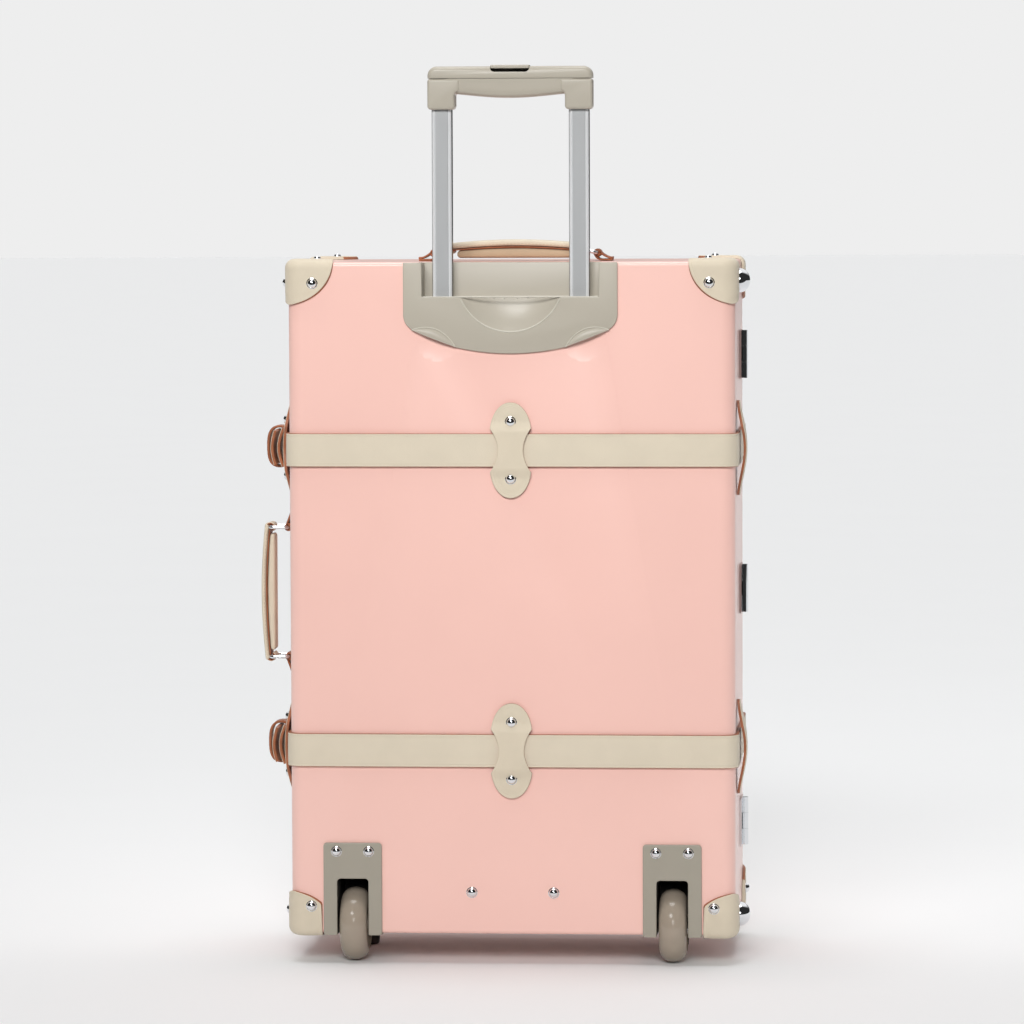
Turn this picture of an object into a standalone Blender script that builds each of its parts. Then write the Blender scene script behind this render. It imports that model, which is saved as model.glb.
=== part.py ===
"""Hard shell suitcase on wheels: a trunk-style case with a hinged lid, a
telescopic trolley, two wheels, leather straps and corners, and carry handles.

Inside this script the case is measured from its own datum: X = 0 is the middle
of its width, Y = 0 its back face with the lid towards +Y, and Z = 0 a drafting
level 5.5 mm above the floor (FLOOR_Z). One empty shifts everything, so that the
origin of the finished part lies at the bottom centre of its bounding box, on the
floor.
"""
from math import asin, cos, pi, sin

import bmesh
import bpy
from mathutils import Matrix, Vector

MM = 0.001
GAP = 0.3 * MM                  # clearance between pieces that touch

# ---- driving dimensions of the case -------------------------------------
BODY_WIDTH = 440 * MM
BODY_BOTTOM = 24.5 * MM
BODY_TOP = 687.5 * MM
PARTING_Y = 150 * MM            # the base is this deep, the lid is the rest
BODY_DEPTH = 230 * MM
EDGE_RADIUS = 14 * MM           # the upright edges of the back and front faces
RIM_RADIUS = 4 * MM             # the top and bottom edges
SHELL = 3 * MM
LEATHER = 3 * MM
HALF_WIDTH = BODY_WIDTH / 2

# ---- trolley --------------------------------------------------------------
TUBE_X = 67.4 * MM
TUBE_Y = 13.5 * MM
LEDGE_Z = 653 * MM
RECESS_HALF = 87 * MM
RECESS_DEPTH = 24.5 * MM
BEZEL_HALF = 106 * MM
BEZEL_FACE_Y = -3 * MM
HANDLE_TOP = 880 * MM
LEG_BOTTOM = 836.5 * MM
HANDLE_SPLIT = 867 * MM
HEAD_HALF = 81 * MM
HEAD_BACK_Y = 1 * MM
HEAD_FRONT_Y = 24 * MM

# ---- wheels and feet ------------------------------------------------------
WHEEL_X = 158 * MM
WHEEL_Y = 25 * MM
WHEEL_RADIUS = 36.7 * MM
FLOOR_Z = -5.5 * MM             # the floor, below the drafting datum
WHEEL_Z = FLOOR_Z + WHEEL_RADIUS
WHEEL_WIDTH = 27.5 * MM
AXLE_RADIUS = 3 * MM
FOOT_Y = 132 * MM

# ---- trim, hardware and handles -------------------------------------------
CORNER_REACH = 44 * MM          # leather corner, measured from the shell's corner
STRAP_WIDTH = 33 * MM
STRAP_Z = {"lower": 206.6 * MM, "upper": 503 * MM}
HINGE_Z = {"lower": 120.5 * MM, "middle": 356.5 * MM, "upper": 592.5 * MM}
HINGE_X = HALF_WIDTH + 4.2 * MM
LOCK_Z = {"lower": 105 * MM, "upper": 609 * MM}
RING_ARM = 18.5 * MM            # between a ring's two bars
RING_WIRE = 1.75 * MM
TAB_HEIGHT = 8 * MM             # ring bar above the shell
CARRY_HALF = 64.8 * MM          # half the distance between a handle's eyes
CARRY_WIDTH = 24 * MM
TOP_HANDLE_Y = 80 * MM
TOP_EYE_HEIGHT = 12 * MM
SIDE_HANDLE_Y = 75 * MM
SIDE_HANDLE_Z = 358 * MM
SIDE_HANDLE_REACH = 36 * MM
SIDE_FOOT_REACH = 14 * MM
WHEEL_REACH = WHEEL_RADIUS - WHEEL_Y

FRAME_X = (SIDE_HANDLE_REACH - SIDE_FOOT_REACH) / 2
FRAME_Y = (WHEEL_REACH - BODY_DEPTH - GAP - LEATHER) / 2

COLOURS = {                     # base colour, roughness, metallic
    "pink_shell": ((0.93, 0.66, 0.60), 0.32, 0.0),
    "leather": ((0.80, 0.72, 0.55), 0.60, 0.0),
    "brown_leather": ((0.45, 0.20, 0.11), 0.60, 0.0),
    "greige_plastic": ((0.60, 0.56, 0.46), 0.45, 0.0),
    "dark_plastic": ((0.40, 0.37, 0.31), 0.50, 0.0),
    "wheel_urethane": ((0.42, 0.36, 0.29), 0.25, 0.0),
    "rubber": ((0.05, 0.05, 0.05), 0.80, 0.0),
    "lining": ((0.75, 0.68, 0.58), 0.85, 0.0),
    "aluminium": ((0.66, 0.67, 0.67), 0.30, 1.0),
    "chrome": ((0.80, 0.80, 0.80), 0.08, 1.0),
    "steel": ((0.50, 0.50, 0.50), 0.30, 1.0),
}


# ---- scene and materials --------------------------------------------------
def clear_scene():
    for obj in list(bpy.data.objects):
        bpy.data.objects.remove(obj, do_unlink=True)


def new_collection(name):
    collection = bpy.data.collections.new(name)
    bpy.context.scene.collection.children.link(collection)
    return collection


def new_material(name):
    colour, roughness, metallic = COLOURS[name]
    material = bpy.data.materials.new(name)
    material.use_nodes = True
    shader = material.node_tree.nodes["Principled BSDF"]
    shader.inputs["Base Color"].default_value = (*colour, 1)
    shader.inputs["Roughness"].default_value = roughness
    shader.inputs["Metallic"].default_value = metallic
    return material


clear_scene()
PARTS = new_collection("suitcase")
CUTTERS = new_collection("cutters")
MATERIALS = {name: new_material(name) for name in COLOURS}
ORIGIN = bpy.data.objects.new("suitcase_origin", None)
ORIGIN.location = (FRAME_X, FRAME_Y, -FLOOR_Z)
PARTS.objects.link(ORIGIN)


# ---- building blocks --------------------------------------------------------
def place(name, mesh, material=None, at=(0, 0, 0)):
    """Adds a mesh as a part, or as a hidden cutter when it has no material."""
    obj = bpy.data.objects.new(name, mesh)
    obj.parent = ORIGIN
    obj.location = at
    if material:
        PARTS.objects.link(obj)
        mesh.materials.append(MATERIALS[material])
    else:
        CUTTERS.objects.link(obj)
        obj.hide_render = True
        obj.display_type = "WIRE"
    return obj


def to_mesh(name, bm):
    mesh = bpy.data.meshes.new(name)
    bm.to_mesh(mesh)
    bm.free()
    return mesh


def smooth(obj, angle=0.6):
    obj.data.shade_smooth()
    obj.data.set_sharp_from_angle(angle=angle)
    return obj


def block(name, low, high, material=None, pivot=(0, 0, 0)):
    """A box between two corners, with its origin at the pivot."""
    low, high, pivot = Vector(low), Vector(high), Vector(pivot)
    bm = bmesh.new()
    bmesh.ops.create_cube(bm, size=1)
    bmesh.ops.scale(bm, vec=high - low, verts=bm.verts)
    bmesh.ops.translate(bm, vec=(high + low) / 2 - pivot, verts=bm.verts)
    return place(name, to_mesh(name, bm), material, pivot)


def rod(name, start, end, radius, material=None, pivot=(0, 0, 0), segments=24):
    """A round bar from start to end."""
    start, end, pivot = Vector(start), Vector(end), Vector(pivot)
    along = end - start
    bm = bmesh.new()
    bmesh.ops.create_cone(bm, cap_ends=True, segments=segments, radius1=radius,
                          radius2=radius, depth=along.length)
    bm.transform(Vector((0, 0, 1)).rotation_difference(along).to_matrix().to_4x4())
    bmesh.ops.translate(bm, vec=(start + end) / 2 - pivot, verts=bm.verts)
    return smooth(place(name, to_mesh(name, bm), material, pivot))


def ball(name, centre, radius, segments=48):
    bm = bmesh.new()
    bmesh.ops.create_uvsphere(bm, u_segments=segments, v_segments=segments // 2, radius=radius)
    return place(name, to_mesh(name, bm), None, centre)


def axes(along, across):
    """The matrix that takes an outline's X and Y to two directions of the case."""
    along, across = Vector(along), Vector(across)
    return Matrix((along, across, along.cross(across))).transposed().to_4x4()


XZ = axes((1, 0, 0), (0, 0, 1))          # its thickness runs along Y
XY = Matrix.Identity(4)                  # its thickness runs along Z


def flat_mesh(name, loops, thickness, matrix):
    """A flat outline, with any holes, filled and extruded about its own plane."""
    curve = bpy.data.curves.new(name, "CURVE")
    curve.dimensions = "2D"
    curve.fill_mode = "BOTH"
    curve.extrude = thickness / 2
    for loop in loops:
        spline = curve.splines.new("POLY")
        spline.points.add(len(loop) - 1)
        for point, (x, y) in zip(spline.points, loop):
            point.co = (x, y, 0, 1)
        spline.use_cyclic_u = True
    outline = bpy.data.objects.new(name + "_outline", curve)
    CUTTERS.objects.link(outline)
    graph = bpy.context.evaluated_depsgraph_get()
    mesh = bpy.data.meshes.new_from_object(outline.evaluated_get(graph))
    bpy.data.objects.remove(outline, do_unlink=True)
    bm = bmesh.new()
    bm.from_mesh(mesh)
    bmesh.ops.remove_doubles(bm, verts=bm.verts, dist=0.01 * MM)
    bm.transform(matrix)
    bmesh.ops.recalc_face_normals(bm, faces=bm.faces)
    if bm.calc_volume(signed=True) < 0:
        bmesh.ops.reverse_faces(bm, faces=bm.faces)
    bm.to_mesh(mesh)
    bm.free()
    mesh.name = name
    return mesh


def flat_piece(name, loops, span, matrix, material=None, pivot=(0, 0, 0)):
    """An outline extruded over a span of the axis that its plane leaves free."""
    middle, thickness = (span[0] + span[1]) / 2, span[1] - span[0]
    normal = Vector([abs(value) for value in matrix.col[2][:3]])
    shift = Matrix.Translation(normal * middle - Vector(pivot))
    return place(name, flat_mesh(name, loops, thickness, shift @ matrix), material, pivot)


def turned(name, profile, axis_turn, material, at, steps=32, closed=False):
    """A profile of (radius, height) points, listed top to bottom, turned about an axis."""
    mesh = bpy.data.meshes.new(name)
    count = len(profile)
    edges = [(i, i + 1) for i in range(count - 1)] + ([(count - 1, 0)] if closed else [])
    mesh.from_pydata([(radius, 0, height) for radius, height in profile], edges, [])
    obj = place(name, mesh, material, at)
    obj.rotation_euler = axis_turn
    screw = obj.modifiers.new("turn", "SCREW")
    screw.steps = screw.render_steps = steps
    screw.use_merge_vertices = True
    screw.merge_threshold = 0.00001
    return obj


def boolean(obj, operation, *tools):
    for tool in tools:
        modifier = obj.modifiers.new(operation.lower(), "BOOLEAN")
        modifier.operation = operation
        modifier.solver = "EXACT"
        modifier.object = tool
    return obj


def cut(obj, *tools):
    return boolean(obj, "DIFFERENCE", *tools)


def join(obj, *tools):
    return boolean(obj, "UNION", *tools)


def round_edges(obj, width, segments=2, angle=0.6):
    bevel = obj.modifiers.new("round", "BEVEL")
    bevel.width = width
    bevel.segments = segments
    bevel.limit_method = "ANGLE"
    bevel.angle_limit = angle
    return obj


def arc(centre, radius, start, end, count, squash=1.0):
    """Points on an arc, in degrees; squash flattens it along Y."""
    angles = [(start + (end - start) * i / count) * pi / 180 for i in range(count + 1)]
    return [(centre[0] + radius * cos(a), centre[1] + radius * squash * sin(a)) for a in angles]


def rounded_box(low, high, radius, count=3):
    """A rectangle with round corners."""
    (x0, y0), (x1, y1) = low, high
    corners = ((x1 - radius, y0 + radius, -90), (x1 - radius, y1 - radius, 0),
               (x0 + radius, y1 - radius, 90), (x0 + radius, y0 + radius, 180))
    return [p for x, y, a in corners for p in arc((x, y), radius, a, a + 90, count)]


def circle(centre, radius, count=16):
    return arc(centre, radius, 0, 360, count)[:-1]


# ---- the two halves of the shell ---------------------------------------------
def half_shell_mesh(name, face_y, mouth_y, grow=0.0, rim=RIM_RADIUS, hollow=False):
    """A half of the case from its flat face to its mouth, offset outwards by grow.

    The outline in plan has round corners at the face; the top and bottom edges
    are rounded by rim. A hollow one leaves its mouth open for a Solidify.
    """
    side = 1 if mouth_y > face_y else -1
    half = HALF_WIDTH + grow
    radius = EDGE_RADIUS + grow
    face = face_y - side * grow
    low, high = BODY_BOTTOM - grow, BODY_TOP + grow
    left = arc((-half + radius, face + side * radius), radius, 180, 180 + side * 90, 5)
    right = [(-x, y) for x, y in reversed(left)]
    outline = [(-half, mouth_y)] + left + right + [(half, mouth_y)]
    mesh = flat_mesh(name, [outline], high - low, Matrix.Translation((0, 0, (low + high) / 2)))
    bm = bmesh.new()
    bm.from_mesh(mesh)
    tolerance = 0.01 * MM
    at_mouth = [v for v in bm.verts if abs(v.co.y - mouth_y) < tolerance]
    bmesh.ops.dissolve_limit(bm, angle_limit=0.01, verts=bm.verts, edges=bm.edges)
    rims = [e for e in bm.edges
            if min(abs(e.verts[0].co.z - z) + abs(e.verts[1].co.z - z) for z in (low, high)) < tolerance
            and not all(v in at_mouth for v in e.verts)]
    bmesh.ops.bevel(bm, geom=rims, offset=rim + grow, segments=3, profile=0.5, affect="EDGES")
    if hollow:
        mouth = [f for f in bm.faces if all(abs(v.co.y - mouth_y) < tolerance for v in f.verts)]
        bmesh.ops.delete(bm, geom=mouth, context="FACES")
    bm.to_mesh(mesh)
    bm.free()
    return mesh


def hollow_half(name, face_y, mouth_y, material, grow=0.0, thickness=SHELL):
    mesh = half_shell_mesh(name, face_y, mouth_y, grow, hollow=True)
    obj = smooth(place(name, mesh, material))
    wall = obj.modifiers.new("wall", "SOLIDIFY")
    wall.thickness = thickness
    wall.offset = -1
    wall.use_even_offset = True
    return obj


BEZEL_BACK_Y = RECESS_DEPTH + 2.5 * MM
DISH_HALF = 53.5 * MM
DISH_BOTTOM = 615 * MM
DISH_BACK_Y = 15 * MM
POCKET_HALF = RECESS_HALF + 2.5 * MM
LEDGE_BOTTOM = LEDGE_Z - 3 * MM
WELL_HALF = 20 * MM             # outside of a wheel well
WELL_CAVITY_HALF = 15.5 * MM
WELL_TOP = 83 * MM
WELL_CAVITY_TOP = 78.7 * MM
WELL_FRONT_Y = 68 * MM


def base_shell():
    shell = hollow_half("base_shell", 0, PARTING_Y, "pink_shell")
    far = 50 * MM
    cutters = [
        block("cut_pocket", (-POCKET_HALF - GAP, -far, LEDGE_BOTTOM - GAP),
              (POCKET_HALF + GAP, BEZEL_BACK_Y + GAP, BODY_TOP + far)),
        block("cut_dish", (-DISH_HALF - GAP, -far, DISH_BOTTOM - GAP),
              (DISH_HALF + GAP, DISH_BACK_Y + GAP, LEDGE_Z)),
    ]
    for side, name in ((-1, "left"), (1, "right")):
        cutters.append(block("cut_well_" + name,
                             (side * WHEEL_X - WELL_HALF - GAP, -far, -far),
                             (side * WHEEL_X + WELL_HALF + GAP, WELL_FRONT_Y + GAP, WELL_TOP + GAP)))
    cut(shell, *cutters)


def lid_shell():
    hollow_half("lid_shell", BODY_DEPTH, PARTING_Y + GAP, "pink_shell")


RIM_BACK_Y = 138.5 * MM
RIM_FRONT_Y = 153.5 * MM
LINING = 1.2 * MM
LINING_BACK_Y = 28.5 * MM


def base_rim():
    """The closing frame inside the mouth of the base; the lid slides over it."""
    inset = SHELL + GAP
    low = (-HALF_WIDTH + inset, BODY_BOTTOM + inset)
    high = (HALF_WIDTH - inset, BODY_TOP - inset)
    wall = 2 * MM
    inner_low, inner_high = [v + wall for v in low], [v - wall for v in high]
    loops = [rounded_box(low, high, 2 * MM), rounded_box(inner_low, inner_high, 1 * MM)]
    flat_piece("base_rim", loops, (RIM_BACK_Y, RIM_FRONT_Y), XZ, "aluminium")


def lining_block(name, inset, back_y, front_y, well_gap, material=None):
    """The space inside the base, stepped over the two wheel wells."""
    inner = block(name, (-HALF_WIDTH + inset, back_y, BODY_BOTTOM + inset),
                  (HALF_WIDTH - inset, front_y, BODY_TOP - inset), material)
    for side, side_name in ((-1, "left"), (1, "right")):
        half = WELL_HALF + 3 * MM + well_gap
        well = block(name + "_well_" + side_name,
                     (side * WHEEL_X - half, 0, 0),
                     (side * WHEEL_X + half, WELL_FRONT_Y + 1 * MM + well_gap,
                      WELL_TOP + 1 * MM + well_gap))
        cut(inner, well)
    return inner


def base_lining():
    """Fabric-covered liner, in front of the trolley's guide and over the wheel wells."""
    inset = SHELL + 0.6 * MM
    outside = lining_block("base_lining", inset, LINING_BACK_Y, RIM_BACK_Y - 0.5 * MM, 0, "lining")
    inside = lining_block("lining_void", inset + LINING, LINING_BACK_Y + LINING, PARTING_Y, LINING)
    cut(outside, inside)


def lid_lining():
    hollow_half("lid_lining", BODY_DEPTH, 156 * MM, "lining", -SHELL - 0.6 * MM, LINING)


# ---- leather corners and straps --------------------------------------------------
def corner(name, face_y, mouth_y, side, level):
    """A leather piece over one corner of the shell, with a quarter-circle edge on each face."""
    at_z = BODY_TOP if level == "top" else BODY_BOTTOM
    grown = half_shell_mesh(name, face_y, mouth_y, GAP + LEATHER)
    obj = smooth(place(name, grown, "leather"))
    body = place(name + "_body", half_shell_mesh(name + "_body", face_y, mouth_y, GAP))
    boolean(obj, "INTERSECT", ball(name + "_edge", (side * HALF_WIDTH, face_y, at_z), CORNER_REACH))
    cut(obj, body)
    if level == "bottom" and face_y == 0:
        inner = WHEEL_X + WHEEL_PLATE_HALF + 1 * MM
        cut(obj, block(name + "_trim", (side * inner - (side > 0) * inner, -0.05, -0.05),
                       (side * inner + (side < 0) * inner, 0.3, 0.3)))


def corners():
    for half, face_y, mouth_y in (("base", 0, PARTING_Y), ("lid", BODY_DEPTH, PARTING_Y)):
        for level in ("top", "bottom"):
            for side, side_name in ((-1, "left"), (1, "right")):
                corner(f"{half}_corner_{level}_{side_name}", face_y, mouth_y, side, level)


def strap(name, face_y, mouth_y, height):
    """Half a leather belt, laid around one half of the shell."""
    side = 1 if mouth_y > face_y else -1

    def line(grow):
        half, radius = HALF_WIDTH + grow, EDGE_RADIUS + grow
        bend = arc((-half + radius, face_y + side * (radius - grow)), radius, 180, 180 + side * 90, 5)
        return [(-half, mouth_y)] + bend + [(-x, y) for x, y in reversed(bend)] + [(half, mouth_y)]

    outline = line(GAP + LEATHER) + list(reversed(line(GAP)))
    span = (height - STRAP_WIDTH / 2, height + STRAP_WIDTH / 2)
    smooth(flat_piece(name, [outline], span, XY, "leather"))


def straps():
    for level, height in STRAP_Z.items():
        strap(f"base_strap_{level}", 0, PARTING_Y, height)
        strap(f"lid_strap_{level}", BODY_DEPTH, PARTING_Y + GAP, height)


def back_guard(level):
    """A riveted leather keeper over the strap, waisted in the middle."""
    tall, shoulder, waist = 47 * MM, 20 * MM, 12.5 * MM
    lobe = [(shoulder * (1 - t * t) ** 0.42, shoulder + (tall - shoulder) * t)
            for t in [i / 8 for i in range(9)]]
    neck = [(waist + (shoulder - waist) * (i / 5) ** 1.6, shoulder * i / 5) for i in range(5)]
    quarter = neck + lobe[:-1]
    upper = quarter + [(0, tall)] + [(-x, y) for x, y in reversed(quarter)]
    outline = upper + [(x, -y) for x, y in reversed(upper[1:-1])]
    outline = [(x, y + STRAP_Z[level]) for x, y in outline]
    outer = GAP + LEATHER + GAP
    guard = flat_piece(f"back_guard_{level}", [outline], (-outer - LEATHER, -GAP), XZ, "leather")
    clear = STRAP_WIDTH / 2 + GAP
    cut(guard, block(f"guard_channel_{level}", (-0.1, -outer, STRAP_Z[level] - clear),
                     (0.1, 0.01, STRAP_Z[level] + clear)))


# ---- trolley ---------------------------------------------------------------------
def tube_mesh(name, width, depth, wall, bottom, top, corner_radius, at_x):
    def loop(shrink):
        low = (at_x - width / 2 + shrink, TUBE_Y - depth / 2 + shrink)
        high = (at_x + width / 2 - shrink, TUBE_Y + depth / 2 - shrink)
        return rounded_box(low, high, corner_radius - shrink)

    return flat_mesh(name, [loop(0), loop(wall)], top - bottom,
                     Matrix.Translation((0, 0, (top + bottom) / 2)))


GUIDE_SIZE = (26.4 * MM, 19.0 * MM)
MIDDLE_SIZE = (23.2 * MM, 16.0 * MM)
INNER_SIZE = (20.0 * MM, 13.0 * MM)
TUBE_WALL = 1.1 * MM


def slot_cutter(name, size, gap, bottom, top, at_x):
    """A solid bar of a tube's section, grown by a gap, for cutting its passage."""
    width, depth = size[0] + 2 * gap, size[1] + 2 * gap
    low = (at_x - width / 2, TUBE_Y - depth / 2)
    high = (at_x + width / 2, TUBE_Y + depth / 2)
    return flat_piece(name, [rounded_box(low, high, 3 * MM)], (bottom, top), XY)


def trolley_bezel():
    """Moulded surround: a flange on the back face, the recess and a finger dish."""
    shoulder_z, lobe_x, lobe_z, bottom_z = 634 * MM, 58 * MM, 604 * MM, 597 * MM
    side_arc = [(lobe_x + (BEZEL_HALF - lobe_x) * cos(a), shoulder_z - (shoulder_z - lobe_z) * sin(a))
                for a in [i * pi / 16 for i in range(9)]]
    belly = [(lobe_x * (1 - i / 5), bottom_z + (lobe_z - bottom_z) * (1 - i / 5) ** 2)
             for i in range(1, 6)]
    top = BODY_TOP - GAP
    right = [(BEZEL_HALF, top)] + side_arc + belly
    outline = right + [(-x, z) for x, z in reversed(right[:-1])]
    bezel = flat_piece("trolley_bezel", [outline], (BEZEL_FACE_Y, -GAP), XZ, "greige_plastic")
    inside = -1 * MM
    join(bezel,
         block("bezel_pocket", (-POCKET_HALF, inside, LEDGE_BOTTOM), (POCKET_HALF, BEZEL_BACK_Y, top)),
         block("bezel_dish", (-DISH_HALF, inside, DISH_BOTTOM), (DISH_HALF, DISH_BACK_Y, LEDGE_Z)))
    dish_radius, dish_depth, dish_centre_z = 52.6 * MM, 14 * MM, 671.6 * MM
    ball_radius = (dish_radius ** 2 + dish_depth ** 2) / (2 * dish_depth)
    scoop = ball("bezel_scoop", (0, BEZEL_FACE_Y + dish_depth - ball_radius, dish_centre_z),
                 ball_radius, 96)
    recess = block("bezel_recess", (-RECESS_HALF, -0.05, LEDGE_Z), (RECESS_HALF, RECESS_DEPTH, 0.75))
    passages = [slot_cutter("bezel_tube_" + name, MIDDLE_SIZE, 0.5 * MM, 0.6, 0.7, side * TUBE_X)
                for side, name in ((-1, "left"), (1, "right"))]
    cut(bezel, recess, scoop, *passages)


def trolley_guide():
    """Two fixed guide tubes down the back of the base, tied by a foot bar."""
    bottom, top = 100 * MM, LEDGE_BOTTOM - 1 * MM
    meshes = [tube_mesh("guide_tube", *GUIDE_SIZE, TUBE_WALL, bottom, top, 3.5 * MM, side * TUBE_X)
              for side in (-1, 1)]
    guide = place("trolley_guide", meshes[0], "steel")
    other = place("guide_tube_right", meshes[1])
    reach = TUBE_X - GUIDE_SIZE[0] / 2 + 0.6 * MM
    bar = block("guide_foot", (-reach, 6 * MM, bottom), (reach, 21 * MM, bottom + 25 * MM))
    join(guide, bar, other)


def trolley_tubes():
    for side, name in ((-1, "left"), (1, "right")):
        middle = tube_mesh("middle", *MIDDLE_SIZE, TUBE_WALL, 260 * MM, LEDGE_Z - 1 * MM, 3 * MM,
                           side * TUBE_X)
        smooth(place("trolley_middle_tube_" + name, middle, "aluminium"))
        inner = tube_mesh("inner", *INNER_SIZE, TUBE_WALL, 300 * MM, 858 * MM, 2.5 * MM, side * TUBE_X)
        smooth(place("trolley_inner_tube_" + name, inner, "aluminium"))


BUTTON_HALF = 19 * MM
BUTTON_BOTTOM = 873 * MM
BUTTON_TRAVEL = 3.5 * MM


def handle_lower():
    leg_inner = HEAD_HALF - 27 * MM
    under, bulge, fillet = 852 * MM, 3.4 * MM, 4 * MM
    belly = [((leg_inner - fillet) * t, under - bulge * cos(pi * t / 2) ** 2)
             for t in [1 - i / 4 for i in range(5)]]
    foot = 4 * MM
    right = ([(HEAD_HALF, HANDLE_SPLIT - GAP)]
             + arc((HEAD_HALF - foot, LEG_BOTTOM + foot), foot, 0, -90, 3)
             + arc((leg_inner + foot, LEG_BOTTOM + foot), foot, -90, -180, 3)
             + arc((leg_inner - fillet, under - fillet), fillet, 0, 90, 3) + belly[1:])
    outline = right + [(-x, z) for x, z in reversed(right[:-1])]
    lower = flat_piece("handle_lower_shell", [outline], (HEAD_BACK_Y, HEAD_FRONT_Y), XZ,
                       "greige_plastic")
    cut(lower, *[slot_cutter("handle_socket_" + name, INNER_SIZE, GAP, 0.8, 858.5 * MM,
                             side * TUBE_X) for side, name in ((-1, "left"), (1, "right"))])


def handle_top():
    corner_radius = 9 * MM
    right = ([(HEAD_HALF, HANDLE_SPLIT)]
             + arc((HEAD_HALF - corner_radius, HANDLE_TOP - corner_radius), corner_radius, 0, 90, 5))
    outline = right + [(-x, z) for x, z in reversed(right)]
    top = flat_piece("handle_top_shell", [outline], (HEAD_BACK_Y, HEAD_FRONT_Y), XZ, "greige_plastic")
    scoop = block("handle_scoop", (-27 * MM, -0.01, BUTTON_BOTTOM + 0.5 * MM), (27 * MM, 0.05, 0.9))
    pocket = block("handle_pocket", (-BUTTON_HALF - GAP, 3.6 * MM, BUTTON_BOTTOM - 4 * MM),
                   (BUTTON_HALF + GAP, 21.4 * MM, 0.9))
    cut(top, scoop, pocket)


def release_button():
    round_edges(block("release_button", (-BUTTON_HALF, 3.9 * MM, BUTTON_BOTTOM),
                      (BUTTON_HALF, 21.1 * MM, HANDLE_TOP), "dark_plastic",
                      (0, TUBE_Y, BUTTON_BOTTOM)), 1.5 * MM)


# ---- wheels and feet ---------------------------------------------------------------
WHEEL_PLATE_HALF = 29 * MM
WHEEL_PLATE_TOP = 114.7 * MM
WHEEL_PLATE_BOTTOM = 22.7 * MM


def wheel_housing(side, name):
    x = side * WHEEL_X
    outline = rounded_box((x - WHEEL_PLATE_HALF, WHEEL_PLATE_BOTTOM),
                          (x + WHEEL_PLATE_HALF, WHEEL_PLATE_TOP), 3.5 * MM)
    housing = flat_piece(f"wheel_housing_{name}", [outline], (-3.3 * MM, -GAP), XZ, "dark_plastic")
    well = block(f"well_{name}", (x - WELL_HALF, -1 * MM, WHEEL_PLATE_BOTTOM + 0.5 * MM),
                 (x + WELL_HALF, WELL_FRONT_Y, WELL_TOP))
    shoe = block(f"well_shoe_{name}", (x - WHEEL_PLATE_HALF, -1 * MM, WHEEL_PLATE_BOTTOM + 0.5 * MM),
                 (x + WHEEL_PLATE_HALF, WELL_FRONT_Y + 5 * MM, BODY_BOTTOM - GAP))
    cavity = round_edges(block(f"well_cavity_{name}", (x - WELL_CAVITY_HALF, -0.05, -0.05),
                               (x + WELL_CAVITY_HALF, WELL_FRONT_Y - 3 * MM, WELL_CAVITY_TOP)),
                         4 * MM)
    bore = rod(f"well_bore_{name}", (x - 0.03, WHEEL_Y, WHEEL_Z), (x + 0.03, WHEEL_Y, WHEEL_Z),
               AXLE_RADIUS + GAP)
    cut(join(housing, well, shoe), cavity, bore)


def wheel_axle(side, name):
    x, half = side * WHEEL_X, WELL_HALF + 2 * MM
    rod(f"wheel_axle_{name}", (x - half, WHEEL_Y, WHEEL_Z), (x + half, WHEEL_Y, WHEEL_Z),
        AXLE_RADIUS, "steel")


def wheel(side, name):
    """A solid urethane wheel with a crowned tread and dished sides."""
    half, hub, bore = WHEEL_WIDTH / 2, 9 * MM, AXLE_RADIUS + GAP
    web, rim = 8.5 * MM, 26 * MM
    crown = WHEEL_RADIUS - rim
    tread = [(rim + crown * cos(a), half * sin(a)) for a in [i * pi / 14 for i in range(7, 0, -1)]]
    upper = [(bore, half), (hub, half), (hub, web), (rim - 1.5 * MM, web)] + tread
    profile = upper + [(r, -z) for r, z in reversed(upper)]
    smooth(turned(f"wheel_{name}", profile, (0, pi / 2, 0), "wheel_urethane",
                  (side * WHEEL_X, WHEEL_Y, WHEEL_Z), closed=True))


def front_foot(side, name):
    """A rubber foot under the front of the base."""
    top = BODY_BOTTOM - GAP
    profile = [(0, top), (16 * MM, top), (16 * MM, top - 3 * MM), (12 * MM, top - 5 * MM),
               (11 * MM, FLOOR_Z + 2 * MM), (9.5 * MM, FLOOR_Z), (0, FLOOR_Z)]
    turned(f"front_foot_{name}", profile, (0, 0, 0), "rubber", (side * 157 * MM, FOOT_Y, 0), 24)


def side_foot(level, height):
    """A domed stud on the hinge side, which the case can lie on."""
    base = GAP + LEATHER + GAP
    dome = SIDE_FOOT_REACH - base
    curve = [(12 * MM * sin(a), base + dome * cos(a)) for a in [i * pi / 16 for i in range(8)]]
    profile = curve + [(12 * MM, base), (0, base)]
    turned(f"side_foot_{level}", profile, (0, pi / 2, 0), "chrome", (HALF_WIDTH, 30 * MM, height), 24)


# ---- hinges and locks ---------------------------------------------------------------
KNUCKLE = 3.7 * MM
HINGE_HALF = 24 * MM
MIDDLE_HALF = 8 * MM


def hinge_leaf(name, y_low, y_high, height):
    leaf = block(name, (HALF_WIDTH + GAP, y_low, height - HINGE_HALF),
                 (HALF_WIDTH + 1.9 * MM, y_high, height + HINGE_HALF), "chrome")
    return leaf


def hinge_rod(name, height, low, high, radius):
    return rod(name, (HINGE_X, PARTING_Y, height + low), (HINGE_X, PARTING_Y, height + high), radius)


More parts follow.
